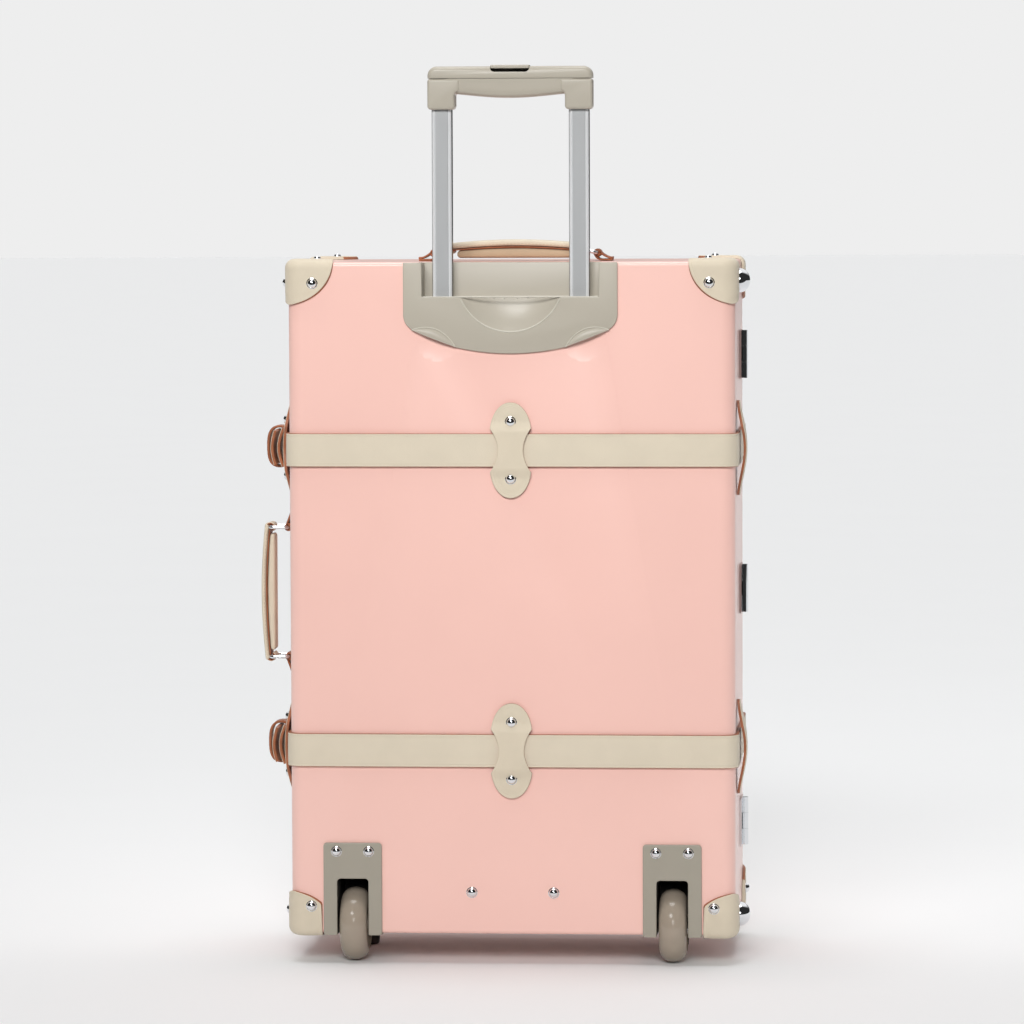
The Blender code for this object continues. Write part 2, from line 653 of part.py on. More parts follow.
def hinge(level, height):
    """A butt hinge: two knuckles and the pin on the base, one knuckle on the lid."""
    edge, reach, swing = 0.4 * MM, 22 * MM, KNUCKLE + 0.5 * MM
    base_name, lid_name = f"hinge_base_{level}", f"hinge_lid_{level}"
    base = hinge_leaf(base_name, PARTING_Y - reach, PARTING_Y - edge, height)
    cut(base, hinge_rod(base_name + "_notch", height, -MIDDLE_HALF - GAP, MIDDLE_HALF + GAP, swing))
    join(base,
         hinge_rod(base_name + "_low", height, -HINGE_HALF, -MIDDLE_HALF - GAP, KNUCKLE),
         hinge_rod(base_name + "_high", height, MIDDLE_HALF + GAP, HINGE_HALF, KNUCKLE),
         hinge_rod(base_name + "_pin", height, -HINGE_HALF + 1 * MM, HINGE_HALF - 1 * MM, 1.6 * MM))
    lid = hinge_leaf(lid_name, PARTING_Y + edge, PARTING_Y + reach, height)
    cut(lid,
        hinge_rod(lid_name + "_low", height, -0.03, -MIDDLE_HALF, swing),
        hinge_rod(lid_name + "_high", height, MIDDLE_HALF, 0.03, swing))
    join(lid, hinge_rod(lid_name + "_knuckle", height, -MIDDLE_HALF, MIDDLE_HALF, KNUCKLE))
    cut(lid, hinge_rod(lid_name + "_bore", height, -0.03, 0.03, 1.6 * MM + GAP))


LOCK_FACE_X = -HALF_WIDTH - 9.3 * MM
HASP_X = -HALF_WIDTH - 6.2 * MM
HASP_Y = 143 * MM
HASP_HALF = 12 * MM
LOCK_BUTTON_Y = 128 * MM
LOCK_BUTTON_RADIUS = 5.5 * MM


def lock(level, height):
    """A case lock: body on the base, a hasp that closes over the lid and a push button."""
    body = block(f"lock_case_{level}", (LOCK_FACE_X, 119 * MM, height - 24 * MM),
                 (-HALF_WIDTH - GAP, 149 * MM, height + 24 * MM), "chrome")
    slot_half = HASP_HALF + GAP
    slot = block(f"lock_slot_{level}", (-0.25, 137.5 * MM, height - slot_half),
                 (-HALF_WIDTH - 2 * MM, 0.16, height + slot_half))
    pin = rod(f"lock_pin_{level}", (HASP_X, HASP_Y, height - HASP_HALF - 2 * MM),
              (HASP_X, HASP_Y, height + HASP_HALF + 2 * MM), 1.2 * MM, segments=12)
    seat = rod(f"lock_seat_{level}", (-0.25, LOCK_BUTTON_Y, height),
               (-HALF_WIDTH - 2.5 * MM, LOCK_BUTTON_Y, height), LOCK_BUTTON_RADIUS + GAP)
    cut(join(cut(round_edges(body, 1.5 * MM), slot), pin), seat)

    pivot = (HASP_X, HASP_Y, height)
    hasp = rod(f"lock_hasp_{level}", (HASP_X, HASP_Y, height - HASP_HALF),
               (HASP_X, HASP_Y, height + HASP_HALF), 3 * MM, "chrome", pivot)
    plate = block(f"hasp_plate_{level}", (HASP_X - 3 * MM, HASP_Y, height - HASP_HALF),
                  (HASP_X - 0.6 * MM, 172 * MM, height + HASP_HALF), None, pivot)
    bore = rod(f"hasp_bore_{level}", (HASP_X, HASP_Y, height - 0.02), (HASP_X, HASP_Y, height + 0.02),
               1.2 * MM + GAP, None, pivot, 12)
    cut(join(hasp, plate), bore)

    outer = LOCK_FACE_X - 1.8 * MM
    button_pivot = (outer, LOCK_BUTTON_Y, height)
    rod(f"lock_button_{level}", button_pivot, (LOCK_FACE_X + 4.5 * MM, LOCK_BUTTON_Y, height),
        LOCK_BUTTON_RADIUS, "chrome", button_pivot)


# ---- carry handles --------------------------------------------------------------------
TOP = {"origin": Vector((0, TOP_HANDLE_Y, BODY_TOP)), "along": Vector((1, 0, 0)),
       "out": Vector((0, 0, 1))}
SIDE = {"origin": Vector((-HALF_WIDTH, SIDE_HANDLE_Y, SIDE_HANDLE_Z)), "along": Vector((0, 0, 1)),
        "out": Vector((-1, 0, 0))}


def on_wall(wall, along, out):
    """A point of the case from its place along a wall and its height above it."""
    return wall["origin"] + wall["along"] * along + wall["out"] * out


def wall_piece(name, loops, width, wall, direction, pivot, material=None):
    """An outline in the plane along a wall and out of it, extruded across the wall."""
    matrix = axes(wall["along"] * direction, wall["out"])
    return place(name, flat_mesh(name, loops, width, matrix), material, pivot)


def handle_tab(name, wall, direction, at):
    """A folded leather tab that holds a ring; it runs away from the handle."""
    loop_radius, tail, thick = 4.2 * MM, 36 * MM, 2.5 * MM
    low = GAP - TAB_HEIGHT
    outline = (arc((0, 0), loop_radius, 50, 180, 6)
               + [(-loop_radius, low), (tail, low), (tail, low + thick), (13 * MM, low + 4 * MM)])
    hole = circle((0, 0), RING_WIRE + 0.6 * MM, 12)
    wall_piece(name, [outline, hole], CARRY_WIDTH, wall, direction, on_wall(wall, at, TAB_HEIGHT),
               "brown_leather")


def ring(name, wall, direction, at, lean):
    """A rectangular wire ring. Its origin is on the bar in the tab; it leans towards the handle."""
    half, bend = CARRY_WIDTH / 2 + 3.5 * MM, 4 * MM
    curve = bpy.data.curves.new(name, "CURVE")
    curve.dimensions = "3D"
    curve.bevel_depth = RING_WIRE
    curve.bevel_resolution = 2
    spline = curve.splines.new("POLY")
    loop = rounded_box((0, -half), (RING_ARM, half), bend)
    spline.points.add(len(loop) - 1)
    across = wall["along"].cross(wall["out"])
    arm = -direction * wall["along"] * cos(lean) + wall["out"] * sin(lean)
    for point, (x, y) in zip(spline.points, loop):
        point.co = (*(arm * x + across * y), 1)
    spline.use_cyclic_u = True
    obj = bpy.data.objects.new(name, curve)
    curve.materials.append(MATERIALS["chrome"])
    obj.parent = ORIGIN
    obj.location = on_wall(wall, at, TAB_HEIGHT)
    PARTS.objects.link(obj)


def carry_handle(name, wall, eye_out, play, inner):
    """A leather grip with an eye at each end and a pad of depth inner under them.

    Play lengthens the eyes.
    """
    end, crown, neck, pad_half = 6 * MM, 9.5 * MM, 5.2 * MM, 50 * MM
    reach = CARRY_HALF + play / 2
    tip = arc((reach, 0), end, -60, 90, 6)
    bow = [(reach * t, end + (crown - end) * cos(pi * t / 2)) for t in [1 - i / 8 for i in range(1, 8)]]
    right = tip + bow
    bottom = [(reach - 1 * MM, -neck)]
    if inner > neck:
        bottom = [(pad_half - 4 * MM, -inner), (pad_half, -neck)] + bottom
    outline = (bottom + right + [(0, crown)] + [(-x, y) for x, y in reversed(right)]
               + [(-x, y) for x, y in reversed(bottom)])
    radius = RING_WIRE + 0.6 * MM
    eyes = []
    for side in (-1, 1):
        centre = side * CARRY_HALF
        eyes.append(arc((centre + play / 2, 0), radius, -90, 90, 6)
                    + arc((centre - play / 2, 0), radius, 90, 270, 6)
                    if play else circle((centre, 0), radius, 12))
    round_edges(wall_piece(name, [outline] + eyes, CARRY_WIDTH, wall, 1, on_wall(wall, 0, eye_out),
                           "leather"), 0.8 * MM, 1, 0.9)


TOP_LEAN = asin((TOP_EYE_HEIGHT - TAB_HEIGHT) / RING_ARM)
TOP_LIFT = 7 * MM
TOP_LEAN_UP = asin((TOP_EYE_HEIGHT - TAB_HEIGHT + TOP_LIFT) / RING_ARM)
TOP_PLAY = RING_ARM * (cos(TOP_LEAN) - cos(TOP_LEAN_UP))


def top_handle():
    """It lies low; lifted, its two rings swing up and their bars slide out in long eyes."""
    tab_at = CARRY_HALF - TOP_PLAY / 2 + RING_ARM * cos(TOP_LEAN)
    for side, name in ((-1, "left"), (1, "right")):
        handle_tab("top_handle_tab_" + name, TOP, side, side * tab_at)
        ring("top_ring_" + name, TOP, side, side * tab_at, TOP_LEAN)
    carry_handle("top_handle", TOP, TOP_EYE_HEIGHT, TOP_PLAY, 9 * MM)


def side_handle():
    """It stands out on its two rings and folds down along the wall."""
    for side, name in ((-1, "lower"), (1, "upper")):
        handle_tab("side_handle_tab_" + name, SIDE, side, side * CARRY_HALF)
        ring("side_ring_" + name, SIDE, side, side * CARRY_HALF, pi / 2)
    carry_handle("side_handle", SIDE, TAB_HEIGHT + RING_ARM, 0, 5.2 * MM)


# ---- assembly --------------------------------------------------------------------------
base_shell()
lid_shell()
base_rim()
base_lining()
lid_lining()
corners()
straps()
for level_name in STRAP_Z:
    back_guard(level_name)
trolley_bezel()
trolley_guide()
trolley_tubes()
handle_lower()
handle_top()
release_button()
for wheel_side, side_name in ((-1, "left"), (1, "right")):
    wheel_housing(wheel_side, side_name)
    wheel_axle(wheel_side, side_name)
    wheel(wheel_side, side_name)
    front_foot(wheel_side, side_name)
side_foot("lower", 42.5 * MM)
side_foot("upper", 668.6 * MM)
for level_name, hinge_height in HINGE_Z.items():
    hinge(level_name, hinge_height)
for level_name, lock_height in LOCK_Z.items():
    lock(level_name, lock_height)
top_handle()
side_handle()
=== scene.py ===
"""Looks for the hard shell suitcase: fine shells, leather, chrome and plastic around the CAD frame."""
from math import asin, cos, pi, radians, sin, sqrt

import bmesh
import bpy
from mathutils import Matrix, Vector

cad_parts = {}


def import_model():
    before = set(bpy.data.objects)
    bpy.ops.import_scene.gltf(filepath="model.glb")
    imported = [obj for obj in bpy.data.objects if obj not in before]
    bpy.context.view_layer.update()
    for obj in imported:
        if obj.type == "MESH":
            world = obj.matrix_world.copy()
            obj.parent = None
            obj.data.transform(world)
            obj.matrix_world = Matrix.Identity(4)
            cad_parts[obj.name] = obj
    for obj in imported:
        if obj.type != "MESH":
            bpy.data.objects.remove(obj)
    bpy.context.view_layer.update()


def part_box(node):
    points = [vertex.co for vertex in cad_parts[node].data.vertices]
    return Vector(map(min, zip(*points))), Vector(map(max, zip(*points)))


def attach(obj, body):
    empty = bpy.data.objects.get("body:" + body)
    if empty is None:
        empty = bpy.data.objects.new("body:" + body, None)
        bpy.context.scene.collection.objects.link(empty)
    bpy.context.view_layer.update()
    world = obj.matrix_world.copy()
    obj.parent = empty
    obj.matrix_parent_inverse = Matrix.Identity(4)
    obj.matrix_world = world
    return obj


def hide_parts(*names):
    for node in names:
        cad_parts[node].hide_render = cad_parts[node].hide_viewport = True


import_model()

MM = 0.001
SIDES = ((-1, "left"), (1, "right"))
LEVELS = ("lower", "upper")

# ---- the case, read from the frame ---------------------------------------------------
SHELL_LOW, SHELL_HIGH = (Vector(corner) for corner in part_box("base_shell"))
LID_HIGH = Vector(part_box("lid_shell")[1])
HALF = (SHELL_HIGH.x - SHELL_LOW.x) / 2
FLOOR = -5.5 * MM
DATUM = Vector(((SHELL_LOW.x + SHELL_HIGH.x) / 2, SHELL_LOW.y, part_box("wheel_right")[0][2] - FLOOR))
BOTTOM, TOP = SHELL_LOW.z - DATUM.z, SHELL_HIGH.z - DATUM.z
PARTING = SHELL_HIGH.y - SHELL_LOW.y
DEPTH = LID_HIGH.y - SHELL_LOW.y
GAP = 0.3 * MM
EDGE_RADIUS = 14 * MM
RIM_RADIUS = 4 * MM
SHELL = 3 * MM
LEATHER = 3 * MM


def middle(node):
    """The centre of a node's box, measured from the case's datum."""
    low, high = (Vector(corner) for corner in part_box(node))
    return (low + high) / 2 - DATUM


def extent(node):
    low, high = (Vector(corner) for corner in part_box(node))
    return low - DATUM, high - DATUM


STRAP_Z = {level: middle("base_strap_" + level).z for level in LEVELS}
STRAP_HALF = (extent("base_strap_upper")[1].z - extent("base_strap_upper")[0].z) / 2
WHEEL_X = middle("wheel_right").x
WHEEL_Y, WHEEL_Z = middle("wheel_right").y, middle("wheel_right").z
TUBE_X = middle("trolley_inner_tube_right").x
TUBE_Y = middle("trolley_inner_tube_right").y


# ---- camera and light -------------------------------------------------------------------
def camera():
    """A long lens from behind, a little to the right and above, as in the photograph."""
    distance, turn, pitch, roll = 5.0, radians(4.514), radians(3.595), radians(-0.203)
    height, aside = 0.7561, 1.0 * MM
    lens, sensor = 179.3355, 36
    data = bpy.data.cameras.new("camera")
    data.lens = lens
    data.sensor_width = sensor
    data.clip_end = 60
    view = bpy.data.objects.new("camera", data)
    bpy.context.scene.collection.objects.link(view)
    view.location = DATUM + Vector((aside + distance * sin(turn), -distance * cos(turn), height))
    view.rotation_mode = "XYZ"
    look = (Matrix.Rotation(turn, 4, "Z") @ Matrix.Rotation(pi / 2 - pitch, 4, "X")
            @ Matrix.Rotation(roll, 4, "Z"))
    view.rotation_euler = look.to_euler("XYZ")
    bpy.context.scene.camera = view


FLOOR_COLOUR = (0.87, 0.875, 0.88)


def area_light(name, at, target, size, power, spread):
    data = bpy.data.lights.new(name, "AREA")
    data.shape = "RECTANGLE"
    data.size, data.size_y = size
    data.energy = power
    data.spread = radians(spread)
    light = bpy.data.objects.new(name, data)
    light.location = DATUM + Vector(at)
    aim = Vector(target) - Vector(at)
    light.rotation_euler = aim.to_track_quat("-Z", "Y").to_euler()
    bpy.context.scene.collection.objects.link(light)


def world():
    """White paper behind the case and a dim room on the camera's side.

    Mirrored rays meet a softbox above and behind the case, and a dark room elsewhere.
    """
    sky = bpy.data.worlds.new("studio")
    bpy.context.scene.world = sky
    sky.use_nodes = True
    nodes, links = sky.node_tree.nodes, sky.node_tree.links
    nodes.clear()
    out = nodes.new("ShaderNodeOutputWorld")
    mix = nodes.new("ShaderNodeMixShader")
    seen = nodes.new("ShaderNodeBackground")
    seen.inputs["Color"].default_value = (0.855, 0.855, 0.855, 1)
    lit = nodes.new("ShaderNodeBackground")
    mirrored = nodes.new("ShaderNodeBackground")
    shine = nodes.new("ShaderNodeMixShader")
    path = nodes.new("ShaderNodeLightPath")
    place = nodes.new("ShaderNodeTexCoord")
    for shade, toward, span, dark, light in ((lit, (0, 1, 0), (-0.08, 0.40), 0.03, 0.86),
                                             (mirrored, (0, 0.6, 0.8), (0.64, 0.80), 0.03, 1.0)):
        along = nodes.new("ShaderNodeVectorMath")
        along.operation = "DOT_PRODUCT"
        along.inputs[1].default_value = toward
        level = nodes.new("ShaderNodeMapRange")
        for name, value in zip(("From Min", "From Max", "To Min", "To Max"), (*span, dark, light)):
            level.inputs[name].default_value = value
        links.new(place.outputs["Generated"], along.inputs[0])
        links.new(along.outputs["Value"], level.inputs["Value"])
        links.new(level.outputs["Result"], shade.inputs["Color"])
    links.new(path.outputs["Is Glossy Ray"], shine.inputs["Fac"])
    links.new(lit.outputs[0], shine.inputs[1])
    links.new(mirrored.outputs[0], shine.inputs[2])
    links.new(path.outputs["Is Camera Ray"], mix.inputs["Fac"])
    links.new(shine.outputs[0], mix.inputs[1])
    links.new(seen.outputs[0], mix.inputs[2])
    links.new(mix.outputs[0], out.inputs["Surface"])


def sun_light(name, toward, strength, spread, glossy=False):
    """A softbox so far away that it lights the floor evenly. toward points at the light."""
    data = bpy.data.lights.new(name, "SUN")
    data.energy = strength
    data.angle = radians(spread)
    light = bpy.data.objects.new(name, data)
    light.rotation_euler = Vector(toward).to_track_quat("Z", "Y").to_euler()
    light.visible_glossy = glossy
    bpy.context.scene.collection.objects.link(light)


def studio():
    """A pale paper floor that starts a little in front of the case, three suns and a softbox."""
    bpy.context.scene.view_settings.view_transform = "Standard"
    paper, paper_front = 60, -1.4
    bpy.ops.mesh.primitive_plane_add(size=paper, location=(0, paper_front + paper / 2, 0))
    floor = bpy.context.object
    floor.name = "studio_floor"
    floor.data.materials.append(plain("floor_paper", FLOOR_COLOUR, 0.95, 0.004, 3))
    world()
    sun_light("key", (0.05, -0.88, 0.45), 1.20, 15)
    sun_light("fill", (0.10, -0.95, 0.30), 0.24, 14, True)
    sun_light("overhead", (-0.05, -0.05, 1.0), 1.25, 34, True)
    area_light("head_height", (-0.4, -1.9, 1.75), (0, 0, 0.72), (1.0, 0.7), 1.45, 36)


# ---- materials ---------------------------------------------------------------------------
def shader(name, colour, roughness, metallic=0.0):
    material = bpy.data.materials.new(name)
    material.use_nodes = True
    node = material.node_tree.nodes["Principled BSDF"]
    node.inputs["Base Color"].default_value = (*colour, 1)
    node.inputs["Roughness"].default_value = roughness
    node.inputs["Metallic"].default_value = metallic
    return material, material.node_tree.nodes, material.node_tree.links, node


def object_coordinates(nodes, links, stretch=(1, 1, 1)):
    place = nodes.new("ShaderNodeTexCoord")
    mapping = nodes.new("ShaderNodeMapping")
    mapping.inputs["Scale"].default_value = stretch
    links.new(place.outputs["Object"], mapping.inputs["Vector"])
    return mapping.outputs["Vector"]


def noise(nodes, links, at, scale, detail=3.0, roughness=0.5):
    node = nodes.new("ShaderNodeTexNoise")
    node.inputs["Scale"].default_value = scale
    node.inputs["Detail"].default_value = detail
    node.inputs["Roughness"].default_value = roughness
    links.new(at, node.inputs["Vector"])
    return node.outputs["Fac"]


def vary_colour(nodes, links, node, factor, dark, light):
    ramp = nodes.new("ShaderNodeValToRGB")
    ramp.color_ramp.elements[0].position = 0.3
    ramp.color_ramp.elements[0].color = (*dark, 1)
    ramp.color_ramp.elements[1].position = 0.7
    ramp.color_ramp.elements[1].color = (*light, 1)
    links.new(factor, ramp.inputs["Fac"])
    links.new(ramp.outputs["Color"], node.inputs["Base Color"])


def vary_roughness(nodes, links, node, factor, low, high):
    spread = nodes.new("ShaderNodeMapRange")
    spread.inputs["To Min"].default_value = low
    spread.inputs["To Max"].default_value = high
    links.new(factor, spread.inputs["Value"])
    links.new(spread.outputs["Result"], node.inputs["Roughness"])


def bump(nodes, links, node, height, distance, strength=1.0):
    relief = nodes.new("ShaderNodeBump")
    relief.inputs["Distance"].default_value = distance
    relief.inputs["Strength"].default_value = strength
    links.new(height, relief.inputs["Height"])
    links.new(relief.outputs["Normal"], node.inputs["Normal"])


def tint(colour, amount):
    return tuple(min(1.0, channel * amount) for channel in colour)


def plain(name, colour, roughness, variation=0.03, scale=40, metallic=0.0, grain=None):
    """Moulded or painted stuff: slight mottle in colour and gloss, and a fine grain."""
    material, nodes, links, node = shader(name, colour, roughness, metallic)
    at = object_coordinates(nodes, links)
    mottle = noise(nodes, links, at, scale)
    vary_colour(nodes, links, node, mottle, tint(colour, 1 - variation), tint(colour, 1 + variation))
    vary_roughness(nodes, links, node, mottle, roughness * 0.9, roughness * 1.1)
    if grain:
        fine = noise(nodes, links, at, grain[0], 2.0)
        bump(nodes, links, node, fine, grain[1], 0.4)
    return material


def leather(name, colour, roughness, pore=900, depth=0.12 * MM, variation=0.06):
    """Pebbled hide: cells and wrinkles in relief, a cloudy mottle in colour, and gloss that follows the
    wrinkles.
    """
    material, nodes, links, node = shader(name, colour, roughness)
    node.inputs["Specular IOR Level"].default_value = 0.35
    node.inputs["Sheen Weight"].default_value = 0.08
    node.inputs["Sheen Roughness"].default_value = 0.4
    at = object_coordinates(nodes, links)
    cells = nodes.new("ShaderNodeTexVoronoi")
    cells.feature = "DISTANCE_TO_EDGE"
    cells.inputs["Scale"].default_value = pore
    links.new(at, cells.inputs["Vector"])
    soften = nodes.new("ShaderNodeMapRange")
    soften.inputs["From Max"].default_value = 0.35
    links.new(cells.outputs["Distance"], soften.inputs["Value"])
    wrinkle = noise(nodes, links, at, 160, 5.0, 0.6)
    blend = nodes.new("ShaderNodeMath")
    blend.operation = "MULTIPLY_ADD"
    blend.inputs[1].default_value = 1.2
    links.new(wrinkle, blend.inputs[0])
    links.new(soften.outputs["Result"], blend.inputs[2])
    cloud = noise(nodes, links, at, 30, 4.0)
    vary_colour(nodes, links, node, cloud, tint(colour, 1 - variation), tint(colour, 1 + variation))
    vary_roughness(nodes, links, node, wrinkle, roughness * 0.8, roughness * 1.2)
    bump(nodes, links, node, blend.outputs[0], depth, 0.5)
    return material


def metal(name, colour, roughness, brushed=None, metallic=1.0):
    material, nodes, links, node = shader(name, colour, roughness, metallic)
    stretch = brushed or (1, 1, 1)
    at = object_coordinates(nodes, links, stretch)
    scratch = noise(nodes, links, at, 900 if brushed else 250, 3.0)
    vary_roughness(nodes, links, node, scratch, roughness * 0.75, roughness * 1.3)
    if brushed:
        bump(nodes, links, node, scratch, 0.02 * MM, 0.5)
    return material


def woven(name, colour):
    """Lining cloth: crossed threads in relief, with a soft sheen."""
    material, nodes, links, node = shader(name, colour, 0.85)
    node.inputs["Sheen Weight"].default_value = 0.25
    at = object_coordinates(nodes, links)
    waves = []
    for direction in ("X", "Z"):
        wave = nodes.new("ShaderNodeTexWave")
        wave.bands_direction = direction
        wave.inputs["Scale"].default_value = 420
        wave.inputs["Distortion"].default_value = 0.4
        links.new(at, wave.inputs["Vector"])
        waves.append(wave.outputs["Fac"])
    weave = nodes.new("ShaderNodeMath")
    weave.operation = "MAXIMUM"
    links.new(waves[0], weave.inputs[0])
    links.new(waves[1], weave.inputs[1])
    cloud = noise(nodes, links, at, 14, 4.0)
    vary_colour(nodes, links, node, cloud, tint(colour, 0.92), tint(colour, 1.06))
    bump(nodes, links, node, weave.outputs[0], 0.15 * MM, 0.6)
    return material


def make_materials():
    pink = plain("pink_shell", (0.925, 0.578, 0.505), 0.30, 0.012, 9, grain=(1400, 0.01 * MM))
    node = pink.node_tree.nodes["Principled BSDF"]
    node.inputs["Coat Weight"].default_value = 0.25
    node.inputs["Coat Roughness"].default_value = 0.12
    cream = (0.685, 0.60, 0.465)
    return {
        "pink": pink,
        "cream": leather("cream_leather", cream, 0.52, variation=0.035),
        "strap": leather("strap_leather", (0.70, 0.618, 0.485), 0.50, variation=0.025),
        "tan": leather("tan_leather", (0.50, 0.38, 0.25), 0.55),
        "brown": leather("brown_leather", (0.30, 0.095, 0.04), 0.45),
        "edge": plain("edge_paint", (0.34, 0.115, 0.05), 0.45, 0.15, 120),
        "thread": plain("thread", (0.60, 0.50, 0.36), 0.8, 0.1, 900),
        "greige": plain("greige_plastic", (0.46, 0.422, 0.35), 0.33, 0.012, 14,
                        grain=(2200, 0.008 * MM)),
        # a paler copy of the greige for thin beads on the surround: painted highlight lines
        "lip": plain("greige_painted_highlight", (0.58, 0.55, 0.47), 0.3, 0.012, 14),
        "housing": plain("housing_plastic", (0.362, 0.332, 0.272), 0.36, 0.015, 14,
                         grain=(2200, 0.008 * MM)),
        "wheel": plain("wheel_urethane", (0.365, 0.305, 0.24), 0.14, 0.03, 30),
        "rubber": plain("foot_rubber", (0.035, 0.034, 0.032), 0.75, 0.1, 90, grain=(1500, 0.03 * MM)),
        "lining": woven("lining_cloth", (0.62, 0.52, 0.42)),
        "aluminium": metal("satin_aluminium", (0.49, 0.50, 0.505), 0.34, (1, 1, 0.01), 0.3),
        # painted highlight and painted shade for the trolley tubes: near-white on their rounded front and
        # back faces, near-black on their sides
        "bright": plain("painted_highlight_band", (0.86, 0.87, 0.88), 0.22, 0.02, 60, 0.25),
        "shade": plain("painted_shade_edge", (0.13, 0.13, 0.14), 0.2, 0.05, 60, 0.9),
        "chrome": metal("chrome", (0.80, 0.81, 0.83), 0.05),
        "steel": metal("steel", (0.50, 0.50, 0.51), 0.30, (1, 1, 0.02)),
        # painted shade: near-black walls for the inside of the wheel wells
        "dark": plain("painted_shade_cavity", (0.05, 0.047, 0.043), 0.7, 0.1, 60),
    }


# ---- mesh tools -------------------------------------------------------------------------
def add(name, mesh, body, materials, replaces=(), angle=35):
    """Puts a mesh made in case coordinates into the scene and gives it to its body."""
    mesh.transform(Matrix.Translation(DATUM))
    mesh.shade_smooth()
    mesh.set_sharp_from_angle(angle=radians(angle))
    piece = bpy.data.objects.new(name, mesh)
    bpy.context.scene.collection.objects.link(piece)
    for material in materials:
        mesh.materials.append(STUFF[material])
    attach(piece, body)
    if replaces:
        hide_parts(*replaces)
    return piece


def mesh_from(bm, name="shape"):
    mesh = bpy.data.meshes.new(name)
    bm.normal_update()
    bm.to_mesh(mesh)
    bm.free()
    return mesh


def outward(bm):
    bmesh.ops.recalc_face_normals(bm, faces=bm.faces)
    if bm.calc_volume(signed=True) < 0:
        bmesh.ops.reverse_faces(bm, faces=bm.faces)


def evaluate(mesh, *modifiers):
    """The mesh after a list of (type, settings) modifiers. It keeps its face material numbers."""
    holder = bpy.data.objects.new("holder", mesh)
    bpy.context.scene.collection.objects.link(holder)
    tools = []
    for kind, settings in modifiers:
        modifier = holder.modifiers.new(kind, kind)
        for key, value in settings.items():
            if isinstance(value, bpy.types.Mesh):
                tool = bpy.data.objects.new("tool", value)
                bpy.context.scene.collection.objects.link(tool)
                tools.append(tool)
                value = tool
            setattr(modifier, key, value)
    graph = bpy.context.evaluated_depsgraph_get()
    result = bpy.data.meshes.new_from_object(holder.evaluated_get(graph))
    for obj in [holder] + tools:
        bpy.data.objects.remove(obj, do_unlink=True)
    return result


def cut(mesh, *tools):
    return evaluate(mesh, *[("BOOLEAN", {"operation": "DIFFERENCE", "object": tool}) for tool in tools])


def join(mesh, *tools):
    return evaluate(mesh, *[("BOOLEAN", {"operation": "UNION", "object": tool}) for tool in tools])


def rounded(mesh, width, segments=3, angle=30):
    return evaluate(mesh, ("BEVEL", {"width": width, "segments": segments, "limit_method": "ANGLE",
                                     "angle_limit": radians(angle), "use_clamp_overlap": False}))


def merged(*meshes):
    """Several meshes in one, side by side."""
    bm = bmesh.new()
    for mesh in meshes:
        bm.from_mesh(mesh)
    return mesh_from(bm)


def block(low, high):
    low, high = Vector(low), Vector(high)
    bm = bmesh.new()
    bmesh.ops.create_cube(bm, size=1)
    bmesh.ops.scale(bm, vec=high - low, verts=bm.verts)
    bmesh.ops.translate(bm, vec=(high + low) / 2, verts=bm.verts)
    return mesh_from(bm)


def rod(start, end, radius, segments=40):
    start, end = Vector(start), Vector(end)
    bm = bmesh.new()
    bmesh.ops.create_cone(bm, cap_ends=True, segments=segments, radius1=radius, radius2=radius,
                          depth=(end - start).length)
    bm.transform(Vector((0, 0, 1)).rotation_difference(end - start).to_matrix().to_4x4())
    bmesh.ops.translate(bm, vec=(start + end) / 2, verts=bm.verts)
    return mesh_from(bm)


def ball(centre, radius, segments=128):
    bm = bmesh.new()
    bmesh.ops.create_uvsphere(bm, u_segments=segments, v_segments=segments // 2, radius=radius)
    bmesh.ops.translate(bm, vec=centre, verts=bm.verts)
    return mesh_from(bm)


def axes(along, across):
    along, across = Vector(along), Vector(across)
    return Matrix((along, across, along.cross(across))).transposed().to_4x4()


XZ = axes((1, 0, 0), (0, 0, 1))
XY = Matrix.Identity(4)


def flat(loops, span, matrix):
    """A filled outline, extruded over a span of the axis that its plane leaves free."""
    curve = bpy.data.curves.new("outline", "CURVE")
    curve.dimensions = "2D"
    curve.fill_mode = "BOTH"
    curve.extrude = (span[1] - span[0]) / 2
    for loop in loops:
        spline = curve.splines.new("POLY")
        spline.points.add(len(loop) - 1)
        for point, (x, y) in zip(spline.points, loop):
            point.co = (x, y, 0, 1)
        spline.use_cyclic_u = True
    outline = bpy.data.objects.new("outline", curve)
    bpy.context.scene.collection.objects.link(outline)
    graph = bpy.context.evaluated_depsgraph_get()
    mesh = bpy.data.meshes.new_from_object(outline.evaluated_get(graph))
    bpy.data.objects.remove(outline, do_unlink=True)
    bm = bmesh.new()
    bm.from_mesh(mesh)
    bmesh.ops.remove_doubles(bm, verts=bm.verts, dist=0.01 * MM)
    bmesh.ops.dissolve_limit(bm, angle_limit=0.001, verts=bm.verts, edges=bm.edges)
    normal = Vector([abs(value) for value in matrix.col[2][:3]])
    bm.transform(Matrix.Translation(normal * (span[0] + span[1]) / 2) @ matrix)
    outward(bm)
    return mesh_from(bm)


def lathe(profile, centre, axis, steps=64, closed=False):
    """A profile of (radius, height) points turned about an axis through the centre."""
    bm = bmesh.new()
    rings = []
    for radius, height in profile:
        if radius < 1e-7:
            rings.append([bm.verts.new((0, 0, height))])
            continue
        rings.append([bm.verts.new((radius * cos(2 * pi * k / steps), radius * sin(2 * pi * k / steps),
                                    height)) for k in range(steps)])
    pairs = list(zip(rings, rings[1:])) + ([(rings[-1], rings[0])] if closed else [])
    for a, b in pairs:
        for k in range(steps):
            m = (k + 1) % steps
            corners = [a[k % len(a)], a[m % len(a)], b[m % len(b)], b[k % len(b)]]
            unique = list(dict.fromkeys(corners))
            if len(unique) > 2:
                bm.faces.new(unique)
    outward(bm)
    turn = Vector((0, 0, 1)).rotation_difference(Vector(axis)).to_matrix().to_4x4()
    bm.transform(Matrix.Translation(centre) @ turn)
    return mesh_from(bm)


